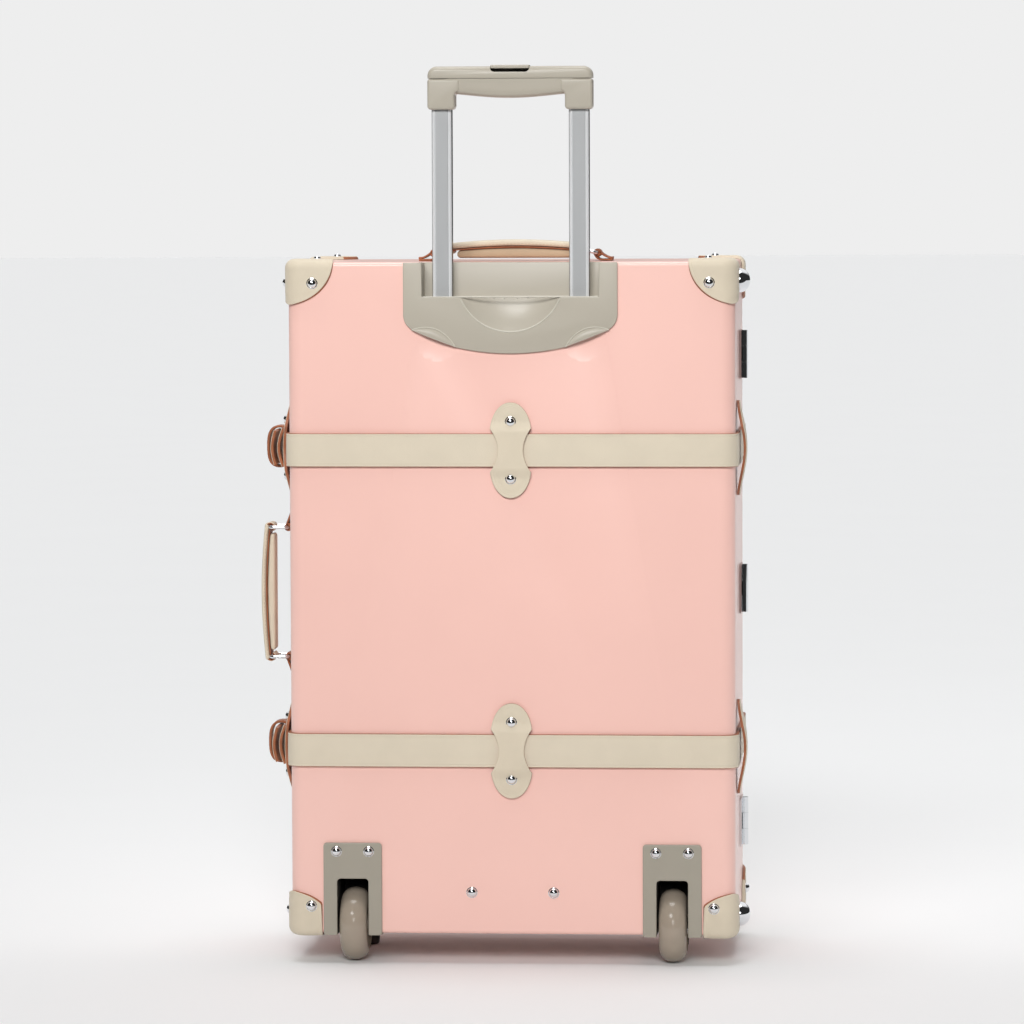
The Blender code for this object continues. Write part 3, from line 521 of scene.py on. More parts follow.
def arc(centre, radius, start, end, count):
    angles = [radians(start + (end - start) * i / count) for i in range(count + 1)]
    return [(centre[0] + radius * cos(a), centre[1] + radius * sin(a)) for a in angles]


def rounded_box(low, high, radius, count=8):
    (x0, y0), (x1, y1) = low, high
    corners = ((x1 - radius, y0 + radius, -90), (x1 - radius, y1 - radius, 0),
               (x0 + radius, y1 - radius, 90), (x0 + radius, y0 + radius, 180))
    return [p for x, y, a in corners for p in arc((x, y), radius, a, a + 90, count)]


def lattice(rows, material_of=None, close_columns=False, close_rows=False):
    """Quads over a grid of points, welded where they meet."""
    bm = bmesh.new()
    grid = [[bm.verts.new(point) for point in row] for row in rows]
    row_pairs = list(zip(grid, grid[1:])) + ([(grid[-1], grid[0])] if close_rows else [])
    count = len(grid[0])
    for i, (a, b) in enumerate(row_pairs):
        for j in range(count if close_columns else count - 1):
            k = (j + 1) % count
            face = bm.faces.new((a[j], a[k], b[k], b[j]))
            if material_of:
                face.material_index = material_of(i, j)
    return bm


# ---- the two shells ------------------------------------------------------------------------
def half_shell(face_y, mouth_y, grow=0.0):
    """One half of the case as an open skin, with round upright edges and rims."""
    side = 1 if mouth_y > face_y else -1
    half, radius, face = HALF + grow, EDGE_RADIUS + grow, face_y - side * grow
    low, high = BOTTOM - grow, TOP + grow
    left = arc((-half + radius, face + side * radius), radius, 180, 180 + side * 90, 16)
    right = [(-x, y) for x, y in reversed(left)]
    solid = flat([[(-half, mouth_y)] + left + right + [(half, mouth_y)]], (low, high), XY)
    bm = bmesh.new()
    bm.from_mesh(solid)
    tolerance = 0.01 * MM
    rims = []
    for edge in bm.edges:
        level = [v.co.z for v in edge.verts]
        at_rim = min(abs(level[0] - z) + abs(level[1] - z) for z in (low, high)) < tolerance
        at_mouth = all(abs(v.co.y - mouth_y) < tolerance for v in edge.verts)
        if at_rim and not at_mouth:
            rims.append(edge)
    bmesh.ops.bevel(bm, geom=rims, offset=RIM_RADIUS + grow, segments=8, profile=0.5, affect="EDGES")
    mouth = [f for f in bm.faces if all(abs(v.co.y - mouth_y) < tolerance for v in f.verts)]
    bmesh.ops.delete(bm, geom=mouth, context="FACES")
    return mesh_from(bm)


def shells():
    wall = ("SOLIDIFY", {"thickness": SHELL, "offset": -1, "use_even_offset": True})
    high = extent("trolley_bezel")[1]
    far = 60 * MM
    pocket_half, dish_half = 89.5 * MM, 53.5 * MM
    tools = [block((-pocket_half, -far, 650 * MM), (pocket_half, high.y, TOP + far)),
             block((-dish_half, -far, 615 * MM), (dish_half, 15 * MM, 655 * MM))]
    for side, _ in SIDES:
        x = side * WHEEL_X
        tools.append(block((x - 20 * MM, -far, -far), (x + 20 * MM, 68 * MM, 83 * MM)))
    scoop, scoop_depth = 23 * MM, 2.4 * MM
    radius = (scoop ** 2 + scoop_depth ** 2) / (2 * scoop_depth)
    tools += [ball((side * 72 * MM, scoop_depth - radius, 612 * MM), radius, 160) for side, _ in SIDES]
    base = evaluate(half_shell(0, PARTING), wall)
    add("base_shell_skin", cut(base, *tools), "case_base", ["pink"], ["base_shell"])
    lid = evaluate(half_shell(DEPTH, PARTING + GAP), wall)
    add("lid_shell_skin", lid, "lid", ["pink"], ["lid_shell"])


# ---- rivets ----------------------------------------------------------------------------------
def rivet(centre, normal, radius=5.5 * MM):
    """A domed rivet with a rolled collar, standing on its centre."""
    dome = 0.66 * radius
    profile = [(0, dome + 0.6 * MM)]
    profile += [(0.86 * radius * sin(a), 0.6 * MM + dome * cos(a))
                for a in [i * pi / 20 for i in range(1, 10)]]
    profile += [(0.88 * radius, 0.45 * MM), (0.94 * radius, 0.62 * MM), (radius, 0.35 * MM),
                (radius, -0.4 * MM), (0, -0.4 * MM)]
    return lathe(profile, centre, normal, 40)


# ---- leather on the shell: corners, belts, guards -------------------------------------------
def rounded_case_point(a, b, c, edge_radius, rim_radius):
    """Where a point of a sharp box corner lies once its edges are round.

    a, b and c are distances from the side, the face and the top or bottom. The
    result is that point's three distances, and the outward normal in them.
    """
    def arc_pull(u, v, radius):
        if u >= radius or v >= radius:
            return u, v
        du, dv = u - radius, v - radius
        square, length = max(abs(du), abs(dv)), sqrt(du * du + dv * dv)
        if length < 1e-9:
            return u, v
        return radius + du * square / length, radius + dv * square / length

    a, b = arc_pull(a, b, edge_radius)
    if a < edge_radius and b < edge_radius:
        du, dv = edge_radius - a, edge_radius - b
        length = max(sqrt(du * du + dv * dv), 1e-9)
        inset, toward = edge_radius - length, (-du / length, -dv / length)
    elif a < b:
        inset, toward = a, (-1.0, 0.0)
    else:
        inset, toward = b, (0.0, -1.0)
    rim_inset, level = arc_pull(inset, c, rim_radius)
    shift = rim_inset - inset
    a, b = a - toward[0] * shift, b - toward[1] * shift
    if rim_inset < rim_radius and level < rim_radius:
        out, up = rim_radius - rim_inset, rim_radius - level
        length = max(sqrt(out * out + up * up), 1e-9)
        out, up = out / length, up / length
    elif level < 1e-7:
        out, up = 0.0, 1.0
    else:
        out, up = 1.0, 0.0
    return (a, b, level), (toward[0] * out, toward[1] * out, -up)


def corner_relief(distance_to_edge):
    """Height of the leather's face over its base thickness, from the distance to its edge."""
    d = distance_to_edge / MM
    edge = -0.55 * max(0.0, 1 - d / 0.8) ** 2
    creases = -0.30 * sum(max(0.0, 1 - abs(d - line) / 0.6) for line in (2.4, 4.0))
    pillow = 0.2 * min(1.0, max(0.0, (d - 4.6) / 5))
    return (edge + creases + pillow) * MM


CORNER_REACH = {"a": 45.5 * MM, "b": 43 * MM, "c": 41.5 * MM}
CORNER_RIM_RADIUS = 9 * MM


def corner_piece(face_y, side, level, limit=None):
    """A leather corner of three quarter discs: an outer and an inner skin and the cut edge."""
    inward = 1 if face_y < PARTING else -1
    up = 1 if level == "top" else -1
    z0 = TOP if level == "top" else BOTTOM
    bm = bmesh.new()
    radial, around = 34, 30
    steps = [sin(pi / 2 * i / radial) for i in range(radial + 1)]
    proud = GAP + LEATHER
    for first, second in (("a", "b"), ("b", "c"), ("a", "c")):
        skins = []
        for skin in ("outer", "inner"):
            rows = []
            for j in range(around + 1):
                angle = pi / 2 * j / around
                ray = {first: cos(angle) * CORNER_REACH[first],
                       second: sin(angle) * CORNER_REACH[second]}
                full = 1.0
                if limit and ray.get("a", 0) > limit:
                    full = limit / ray["a"]
                length = full * sqrt(sum(v * v for v in ray.values()))
                row = []
                for t in steps:
                    spot = {"a": 0.0, "b": 0.0, "c": 0.0}
                    for key, value in ray.items():
                        spot[key] = value * full * t
                    if skin == "outer":
                        stretch = 1 + proud / max(length, proud)
                        grown = [spot[key] * stretch for key in "abc"]
                        point, normal = rounded_case_point(*grown, EDGE_RADIUS + proud,
                                                           CORNER_RIM_RADIUS)
                        lift = corner_relief(length * (1 - t))
                        p = [point[k] - proud + normal[k] * lift for k in range(3)]
                    else:
                        point, normal = rounded_case_point(spot["a"], spot["b"], spot["c"],
                                                           EDGE_RADIUS, RIM_RADIUS)
                        p = [point[k] + normal[k] * GAP for k in range(3)]
                    row.append(bm.verts.new((side * (HALF - p[0]), face_y + inward * p[1],
                                             z0 - up * p[2])))
                rows.append(row)
            for low, high in zip(rows, rows[1:]):
                for k in range(radial):
                    bm.faces.new((low[k], low[k + 1], high[k + 1], high[k]))
            skins.append(rows)
        outer, inner = skins
        for j in range(around):
            face = bm.faces.new((outer[j][-1], outer[j + 1][-1], inner[j + 1][-1], inner[j][-1]))
            face.material_index = 1
    bmesh.ops.remove_doubles(bm, verts=bm.verts, dist=0.02 * MM)
    outward(bm)
    return mesh_from(bm)


def corners():
    rivets = {"case_base": [], "lid": []}
    for half, face_y, body in (("base", 0, "case_base"), ("lid", DEPTH, "lid")):
        out = -1 if half == "base" else 1
        for level, z0, up in (("top", TOP, 1), ("bottom", BOTTOM, -1)):
            for side, side_name in SIDES:
                node = f"{half}_corner_{level}_{side_name}"
                cramped = half == "base" and level == "bottom"
                limit = 31.5 * MM if cramped else None
                mesh = corner_piece(face_y, side, level, limit)
                # on the lid, cut-edge faces turned towards the base take the cream leather instead of edge
                # paint: a painted highlight
                if half == "lid":
                    for polygon in mesh.polygons:
                        if polygon.normal.y < -0.6:
                            polygon.material_index = 0
                add(node + "_leather", mesh, body, ["cream", "edge"], [node])
                proud = GAP + LEATHER
                in_x = 21 * MM if cramped else 25 * MM
                in_z = 27 * MM if cramped else 20.5 * MM
                rivets[body].append(rivet((side * (HALF - in_x), face_y + out * proud, z0 - up * in_z),
                                          (0, out, 0)))
                if not (half == "base" and side > 0):
                    rivets[body].append(rivet((side * (HALF + proud), face_y - out * 26 * MM,
                                               z0 - up * 20 * MM), (side, 0, 0)))
                rivets[body].append(rivet((side * (HALF - 27 * MM), face_y - out * 26 * MM,
                                           z0 + up * proud), (0, 0, up), 4 * MM))
    return rivets


def plan_line(face_y, mouth_y, grow, count=14):
    """The belt's route around one half, in plan, with the outward normal at each point."""
    side = 1 if mouth_y > face_y else -1
    centre_x, centre_y = HALF - EDGE_RADIUS, face_y + side * EDGE_RADIUS
    radius = EDGE_RADIUS + grow
    points = []
    for k in range(9):
        y = mouth_y + (centre_y - mouth_y) * k / 8
        points.append(((-HALF - grow, y), (-1.0, 0.0)))
    for k in range(1, count + 1):
        a = pi / 2 * k / count
        normal = (-cos(a), -side * sin(a))
        points.append(((-centre_x + radius * normal[0], centre_y + radius * normal[1]), normal))
    for k in range(1, 24):
        x = -centre_x + 2 * centre_x * k / 24
        points.append(((x, face_y - side * grow), (0.0, -float(side))))
    mirror = [((-x, y), (-nx, ny)) for (x, y), (nx, ny) in reversed(points[:9 + count])]
    return points + mirror


def belt_section(half, thickness):
    """Across a belt: (offset along Z, height), from the lower inside edge over the face."""
    groove, lip = 0.30 * MM, 0.55 * MM
    side = [(-half, 0.0), (-half, thickness - lip), (-half + lip, thickness)]
    face = [(-half + 2.3 * MM, thickness), (-half + 2.7 * MM, thickness - groove),
            (-half + 3.1 * MM, thickness), (-half * 0.5, thickness + 0.12 * MM),
            (0, thickness + 0.2 * MM)]
    left = side + face
    return left + [(-s, h) for s, h in reversed(left[:-1])]


def sweep_belt(route, height_z, half, thickness, ends=True):
    """A belt along a plan route: leather on its face, paint on its edges."""
    section = belt_section(half, thickness)
    rows = []
    for (x, y), (nx, ny) in route:
        rows.append([(x + nx * h, y + ny * h, height_z + s) for s, h in section])
    last = len(section) - 1
    painted = (0, 1, last - 2, last - 1, last)
    bm = lattice(rows, lambda i, j: int(j in painted), close_columns=True)
    if ends:
        bm.verts.ensure_lookup_table()
        count = len(section)
        for start in (0, (len(rows) - 1) * count):
            face = bm.faces.new([bm.verts[start + k] for k in range(count)])
            face.material_index = 1
    outward(bm)
    return mesh_from(bm)


def belts():
    for level in LEVELS:
        for half, face_y, mouth_y, body in (("base", 0, PARTING, "case_base"),
                                            ("lid", DEPTH, PARTING + GAP, "lid")):
            mesh = sweep_belt(plan_line(face_y, mouth_y, GAP), STRAP_Z[level], STRAP_HALF, LEATHER)
            node = f"{half}_strap_{level}"
            add(node + "_leather", mesh, body, ["strap", "edge"], [node])


GUARD_TALL = 47 * MM
GUARD_SHOULDER = 20 * MM
GUARD_WAIST = 12.5 * MM


def guard_width(t):
    """Half the guard's width at a height t from its middle."""
    t = abs(t)
    shoulder = 21.4 * MM
    if t < shoulder:
        return GUARD_WAIST + (GUARD_SHOULDER - GUARD_WAIST) * (t / shoulder) ** 1.9
    u = (t - 16 * MM) / (GUARD_TALL - 16 * MM)
    return 20.5 * MM * max(0.0, 1 - u * u) ** 0.48


def guard_mesh(place, over_belt, bowed, foot=GAP):
    """A waisted leather keeper. place maps (across, up, out) to the case."""
    rows_t = [GUARD_TALL * sin(pi / 2 * k / 56) for k in range(-56, 57)]
    columns = [sin(pi / 2 * k / 18) for k in range(-18, 19)]
    border = [(guard_width(t), t) for t in rows_t]

    def edge_distance(x, t):
        return min(sqrt((abs(x) - w) ** 2 + (t - tt) ** 2) for w, tt in border)

    def ramp(t):
        if bowed:
            return cos(pi / 2 * min(1.0, abs(t) / GUARD_TALL)) ** 1.5
        u = (abs(t) - 17 * MM) / (12 * MM)
        u = min(1.0, max(0.0, u))
        return 1 - u * u * (3 - 2 * u)

    def relief(d, t):
        d, lobe = d / MM, min(1.0, max(0.0, (abs(t) / MM - 14) / 8))
        edge = -0.5 * max(0.0, 1 - d / 0.7) ** 2
        creases = -0.26 * sum(max(0.0, 1 - abs(d - line) / 0.55) for line in (2.6, 4.6, 6.6))
        return (edge + creases * lobe + 0.3 * min(1.0, max(0.0, (d - 5.2) / 4))) * MM

    top, low = [], []
    for t in rows_t:
        width = max(guard_width(t), 0.05 * MM)
        lift = foot + over_belt * ramp(t)
        top.append([place(u * width, t, lift + LEATHER + relief(edge_distance(u * width, t), t))
                    for u in columns])
        low.append([place(u * width, t, lift) for u in columns])
    bm = bmesh.new()
    faces = []
    for grid, flip in ((top, False), (low, True)):
        verts = [[bm.verts.new(p) for p in row] for row in grid]
        faces.append(verts)
        for a, b in zip(verts, verts[1:]):
            for j in range(len(columns) - 1):
                quad = (a[j], a[j + 1], b[j + 1], b[j])
                bm.faces.new(tuple(reversed(quad)) if flip else quad).material_index = int(flip)
    upper, lower = faces
    count = len(columns) - 1
    loop = [(i, 0) for i in range(len(rows_t))] + [(len(rows_t) - 1, j) for j in range(1, count + 1)]
    loop += [(i, count) for i in range(len(rows_t) - 2, -1, -1)]
    loop += [(0, j) for j in range(count - 1, 0, -1)]
    for (i, j), (m, n) in zip(loop, loop[1:] + loop[:1]):
        face = bm.faces.new((upper[i][j], upper[m][n], lower[m][n], lower[i][j]))
        face.material_index = 1
    outward(bm)
    return mesh_from(bm)


def guards(rivets):
    for level in LEVELS:
        z = STRAP_Z[level]
        spots = [
            (f"back_guard_{level}", "case_base", 3.3 * MM, (0, -1, 0), (1, 0, 0), Vector((0, 0, z))),
            (f"front_guard_{level}", "lid", 3.3 * MM, (0, 1, 0), (1, 0, 0), Vector((0, DEPTH, z))),
        ]
        for side, name in SIDES:
            spots.append((f"side_guard_{level}_{name}", "case_base", 6.8 * MM, (side, 0, 0), (0, 1, 0),
                          Vector((side * HALF, 52 * MM, z))))
        for name, body, over, out, across, centre in spots:
            out, across = Vector(out), Vector(across)

            def place(u, t, n, out=out, across=across, centre=centre):
                return centre + across * u + Vector((0, 0, t)) + out * n

            stands_for = [name] if name.startswith("back") else []
            bowed = name.startswith("side")
            add(name + "_leather", guard_mesh(place, over, bowed), body, ["cream", "edge"], stands_for)
            if name.endswith("right"):
                continue        # sewn on the hinge side, where no rivet shows
            for t in (-28 * MM, 28 * MM):
                lift = 3.4 * MM + (over * cos(pi / 2 * 28 / 47) ** 1.5 if bowed else 0.1 * MM)
                rivets[body].append(rivet(place(0, t, lift), out))


# ---- trolley ------------------------------------------------------------------------------
def bezel():
    """The moulded surround, with its recess, finger dish, scallops and tube passages."""
    half, lobe_x, lobe_z, bottom = 105.4 * MM, 55 * MM, 604 * MM, 597.6 * MM
    low, high = extent("trolley_bezel")
    top = high.z
    side_arc = arc((half - 17 * MM, 636 * MM), 17 * MM, 0, -60, 14)
    turn_x, turn_z = side_arc[-1]
    edge = [(turn_x + (lobe_x - turn_x) * t, turn_z + (lobe_z - turn_z) * (t - 0.10 * sin(pi * t)))
            for t in [i / 12 for i in range(1, 13)]]
    belly = [(lobe_x * (1 - i / 14), bottom + (lobe_z - bottom) * (1 - i / 14) ** 2) for i in range(1, 15)]
    right = [(half, top)] + side_arc + edge + belly
    outline = right + [(-x, z) for x, z in reversed(right[:-1])]
    ledge, recess_half, depth = 653 * MM, 87 * MM, 24.5 * MM
    body = flat([outline], (low.y, -GAP), XZ)
    body = join(body, block((-89.3 * MM, -1 * MM, 650.2 * MM), (89.3 * MM, high.y - 0.2 * MM, top)),
                block((-53.3 * MM, -1 * MM, 615.2 * MM), (53.3 * MM, 14.8 * MM, 652 * MM)))
    dish_radius, dish_depth, dish_z = 52.6 * MM, 14 * MM, 671.6 * MM
    profile = [(dish_radius * t, -dish_depth * (1 - t ** 2.8)) for t in [i / 24 for i in range(25)]]
    dish = lathe([(r, z) for r, z in profile] + [(dish_radius, 0.02), (0, 0.02)], (0, low.y, dish_z),
                 (0, -1, 0), 128)
    tools = [block((-recess_half, -0.05, ledge), (recess_half, depth, 0.75)),
             dish]
    for side, _ in SIDES:
        x = side * TUBE_X
        hole = rounded_box((x - 12.1 * MM, TUBE_Y - 8.5 * MM), (x + 12.1 * MM, TUBE_Y + 8.5 * MM),
                           3 * MM)
        tools.append(flat([hole], (0.6, 0.7), XY))
    mesh = rounded(cut(body, *tools), 1.0 * MM, 3, 30)
    add("trolley_surround", mesh, "case_base", ["greige"], ["trolley_bezel"])
    # the dish lip, the ledge bead and the scallop brows are real raised beads; their paler colour is a
    # painted highlight
    ledge_angle = asin((dish_z - ledge) / dish_radius)
    lip = [Vector((dish_radius * cos(a), low.y + 0.1 * MM, dish_z - dish_radius * sin(a)))
           for a in [ledge_angle + 0.03 + (pi - 2 * ledge_angle - 0.06) * i / 60 for i in range(61)]]
    add("dish_lip", pipe(lip, 0.8 * MM), "case_base", ["lip"])
    # paler bead along the ledge: painted highlight line
    bead = [Vector((x * MM, low.y + 0.25 * MM, ledge + 0.1 * MM)) for x in range(-86, 87, 2)]
    add("ledge_bead", pipe(bead, 0.6 * MM), "case_base", ["lip"])
    for side, name in SIDES:
        add("scallop_" + name, scallop(side, low.y), "case_base", ["greige"])
        brow = []
        for k in range(41):
            t, rise = k / 40, sin(pi * k / 40) ** 0.8
            x, z = 97 - 42.5 * t - 3.096 * rise, 620.6 - 16.4 * t + 9.2 * rise
            brow.append(Vector((side * x * MM, low.y - 0.1 * MM, z * MM)))
        # paler wire along the scallop brow: painted highlight line
        add("scallop_brow_" + name, pipe(brow, 0.55 * MM), "case_base", ["lip"])


def pipe(points, radius, closed=False, sides=6):
    """A round wire along a list of points."""
    curve = bpy.data.curves.new("wire", "CURVE")
    curve.dimensions = "3D"
    curve.bevel_depth = radius
    curve.bevel_resolution = sides
    curve.use_fill_caps = not closed
    spline = curve.splines.new("POLY")
    spline.points.add(len(points) - 1)
    for point, at in zip(spline.points, points):
        point.co = (*at, 1)
    spline.use_cyclic_u = closed
    holder = bpy.data.objects.new("holder", curve)
    bpy.context.scene.collection.objects.link(holder)
    graph = bpy.context.evaluated_depsgraph_get()
    mesh = bpy.data.meshes.new_from_object(holder.evaluated_get(graph))
    bpy.data.objects.remove(holder, do_unlink=True)
    bm = bmesh.new()
    bm.from_mesh(mesh)
    bmesh.ops.remove_doubles(bm, verts=bm.verts, dist=0.005 * MM)
    outward(bm)
    return mesh_from(bm)


def scallop(side, face_y):
    """The raised crescent lip over a finger scoop, at a lower corner of the surround."""
    inner, outer = Vector((97 * MM, 620.6 * MM)), Vector((54.5 * MM, 604.2 * MM))
    chord = outer - inner
    normal = Vector((-chord.y, chord.x)).normalized()
    if normal.y < 0:
        normal = -normal
    rows = []
    for i in range(41):
        t = i / 40
        low = inner + chord * t - normal * 0.3 * MM * sin(pi * t)
        tall = 8.6 * MM * sin(pi * t) ** 0.8
        row = []
        for k in range(13):
            u = k / 12
            height = 2.0 * MM * sin(pi * t) ** 0.7 * (1 - (2 * u - 0.75) ** 2 / 1.5625) if k < 12 else 0
            at = low + normal * tall * u
            row.append((side * at.x, face_y - max(height, 0) - 0.02 * MM, at.y))
        rows.append([(side * low.x, face_y + 1.5 * MM, low.y)] + row
                    + [(side * (low + normal * tall).x, face_y + 1.5 * MM, (low + normal * tall).y)])
    bm = lattice(rows, close_columns=True)
    bmesh.ops.remove_doubles(bm, verts=bm.verts, dist=0.01 * MM)
    outward(bm)
    return mesh_from(bm)


def tube_section(width, depth, wall, x0):
    """An extruded section: flat faces with a fine groove near each edge."""
    radius, groove, at = 3.2 * MM, 0.55 * MM, width / 2 - 3.6 * MM
    w, d = width / 2, depth / 2
    corner_points = arc((w - radius, d - radius), radius, 0, 90, 8)
    groove_points = [(at + 0.5 * MM, d), (at + 0.35 * MM, d - groove), (at - 0.35 * MM, d - groove),
                     (at - 0.5 * MM, d)]
    quarter = corner_points + groove_points
    half = quarter + [(-x, y) for x, y in reversed(quarter)]
    outer = half + [(-x, -y) for x, y in half]
    inner = rounded_box((-w + wall, -d + wall), (w - wall, d - wall), 1.5 * MM)
    return [[(x + x0, y + TUBE_Y) for x, y in loop] for loop in (outer, inner)]


def tubes():
    low, high = extent("trolley_inner_tube_right")
    for side, name in SIDES:
        loops = tube_section(high.x - low.x, high.y - low.y, 1.2 * MM, side * TUBE_X)
        mesh = flat(loops, (low.z, high.z), XY)
        # faces near the tube's edges: painted highlight where they face front or back, painted shade where
        # they face the sides
        for polygon in mesh.polygons:
            across = abs(polygon.center.x - side * TUBE_X)
            if abs(polygon.normal.z) < 0.5 and across > 5.6 * MM:
                polygon.material_index = 1 if abs(polygon.normal.y) > 0.62 else 2
        node = "trolley_inner_tube_" + name
        add(node + "_profile", mesh, "trolley_grip", ["aluminium", "bright", "shade"], [node], 25)


def grip():
    """The two moulded halves of the trolley grip and its sprung button."""
    head, leg, under, bulge = 81 * MM, 27 * MM, 852 * MM, 4.4 * MM
    low, high = extent("handle_lower_shell")
    top_low, top_high = extent("handle_top_shell")
    inner = head - leg
    centre_y, half_y = (low.y + high.y) / 2, (high.y - low.y) / 2 - 0.8 * MM
    rows = []
    for i in range(-40, 41):
        x = (inner + 8 * MM) * i / 40
        bottom = under - bulge * cos(pi * i / 80) ** 1.3
        section = [(half_y, high.z - 0.03 * MM)]
        section += [(half_y * sin(a) ** 0.62, bottom + (9 * MM) * (1 - cos(a) ** 0.62))
                    for a in [pi / 2 * (1 - k / 12) for k in range(13)]]
        section = section + [(-y, z) for y, z in reversed(section[:-1])]
        rows.append([(x, centre_y + y, z) for y, z in section])
    bm = lattice(rows, close_columns=True)
    bm.verts.ensure_lookup_table()
    count = len(rows[0])
    for start in (0, (len(rows) - 1) * count):
        bm.faces.new([bm.verts[start + k] for k in range(count)])
    outward(bm)
    body = mesh_from(bm)
    foot, crook = 3.5 * MM, 5 * MM
    for side, _ in SIDES:
        right = [(head, high.z)] + arc((head - foot, low.z + foot), foot, 0, -90, 6)
        right += arc((inner + foot, low.z + foot), foot, -90, -180, 6)
        right += arc((inner - crook, under - crook + 2.5 * MM), crook, 0, 90, 6)
        right += [(inner - crook, high.z)]
        leg_mesh = flat([[(side * x, z) for x, z in right]], (low.y, high.y), XZ)
        body = join(body, rounded(leg_mesh, 2.8 * MM, 5, 50))
    sockets = []
    for side, _ in SIDES:
        x = side * TUBE_X
        hole = rounded_box((x - 10.3 * MM, TUBE_Y - 6.8 * MM), (x + 10.3 * MM, TUBE_Y + 6.8 * MM),
                           3.2 * MM)
        sockets.append(flat([hole], (0.8, 858.5 * MM), XY))
    add("grip_lower", cut(body, *sockets), "trolley_grip", ["greige"], ["handle_lower_shell"])

    radius, crest = 9 * MM, top_high.z - 1.2 * MM
    right = [(head, top_low.z - 12 * MM)] + arc((head - radius, crest - radius), radius, 0, 90, 10)
    outline = right + [(-x, z) for x, z in reversed(right)]
    body = rounded(flat([outline], (top_low.y, top_high.y), XZ), 5 * MM, 7, 50)
    body = cut(body, block((-0.2, -0.2, 0.5), (0.2, 0.2, top_low.z)))
    button_low, button_high = extent("release_button")
    shape = ([(button_high.x, crest + 0.02)] + arc((button_high.x - 4.2 * MM, button_low.z + 4.6 * MM),
                                                   4.2 * MM, 0, -90, 8))
    shape = shape + [(-x, z) for x, z in reversed(shape)]
    lip = flat([grown(shape, 0.2 * MM)], (-0.02, 0.05), XZ)
    pocket = block((button_low.x - 0.35 * MM, button_low.y - 1.8 * MM, button_low.z - 4 * MM),
                   (button_high.x + 0.35 * MM, button_high.y + 1.8 * MM, 0.9))
    mesh = rounded(cut(body, lip, pocket), 0.25 * MM, 2, 50)
    add("grip_top", mesh, "trolley_grip", ["greige"], ["handle_top_shell"])
    shape = [(x, min(z, button_high.z)) for x, z in shape]
    button = flat([shape], (button_low.y - 1.5 * MM, button_high.y + 1.5 * MM), XZ)
    add("grip_button", rounded(button, 0.7 * MM, 4, 40), "release_button", ["greige"],
        ["release_button"])


def grown(loop, by):
    """An outline symmetric about x=0, pushed out and down by a little."""
    return [(x + by * (1 if x > 0 else -1), z - by) for x, z in loop]


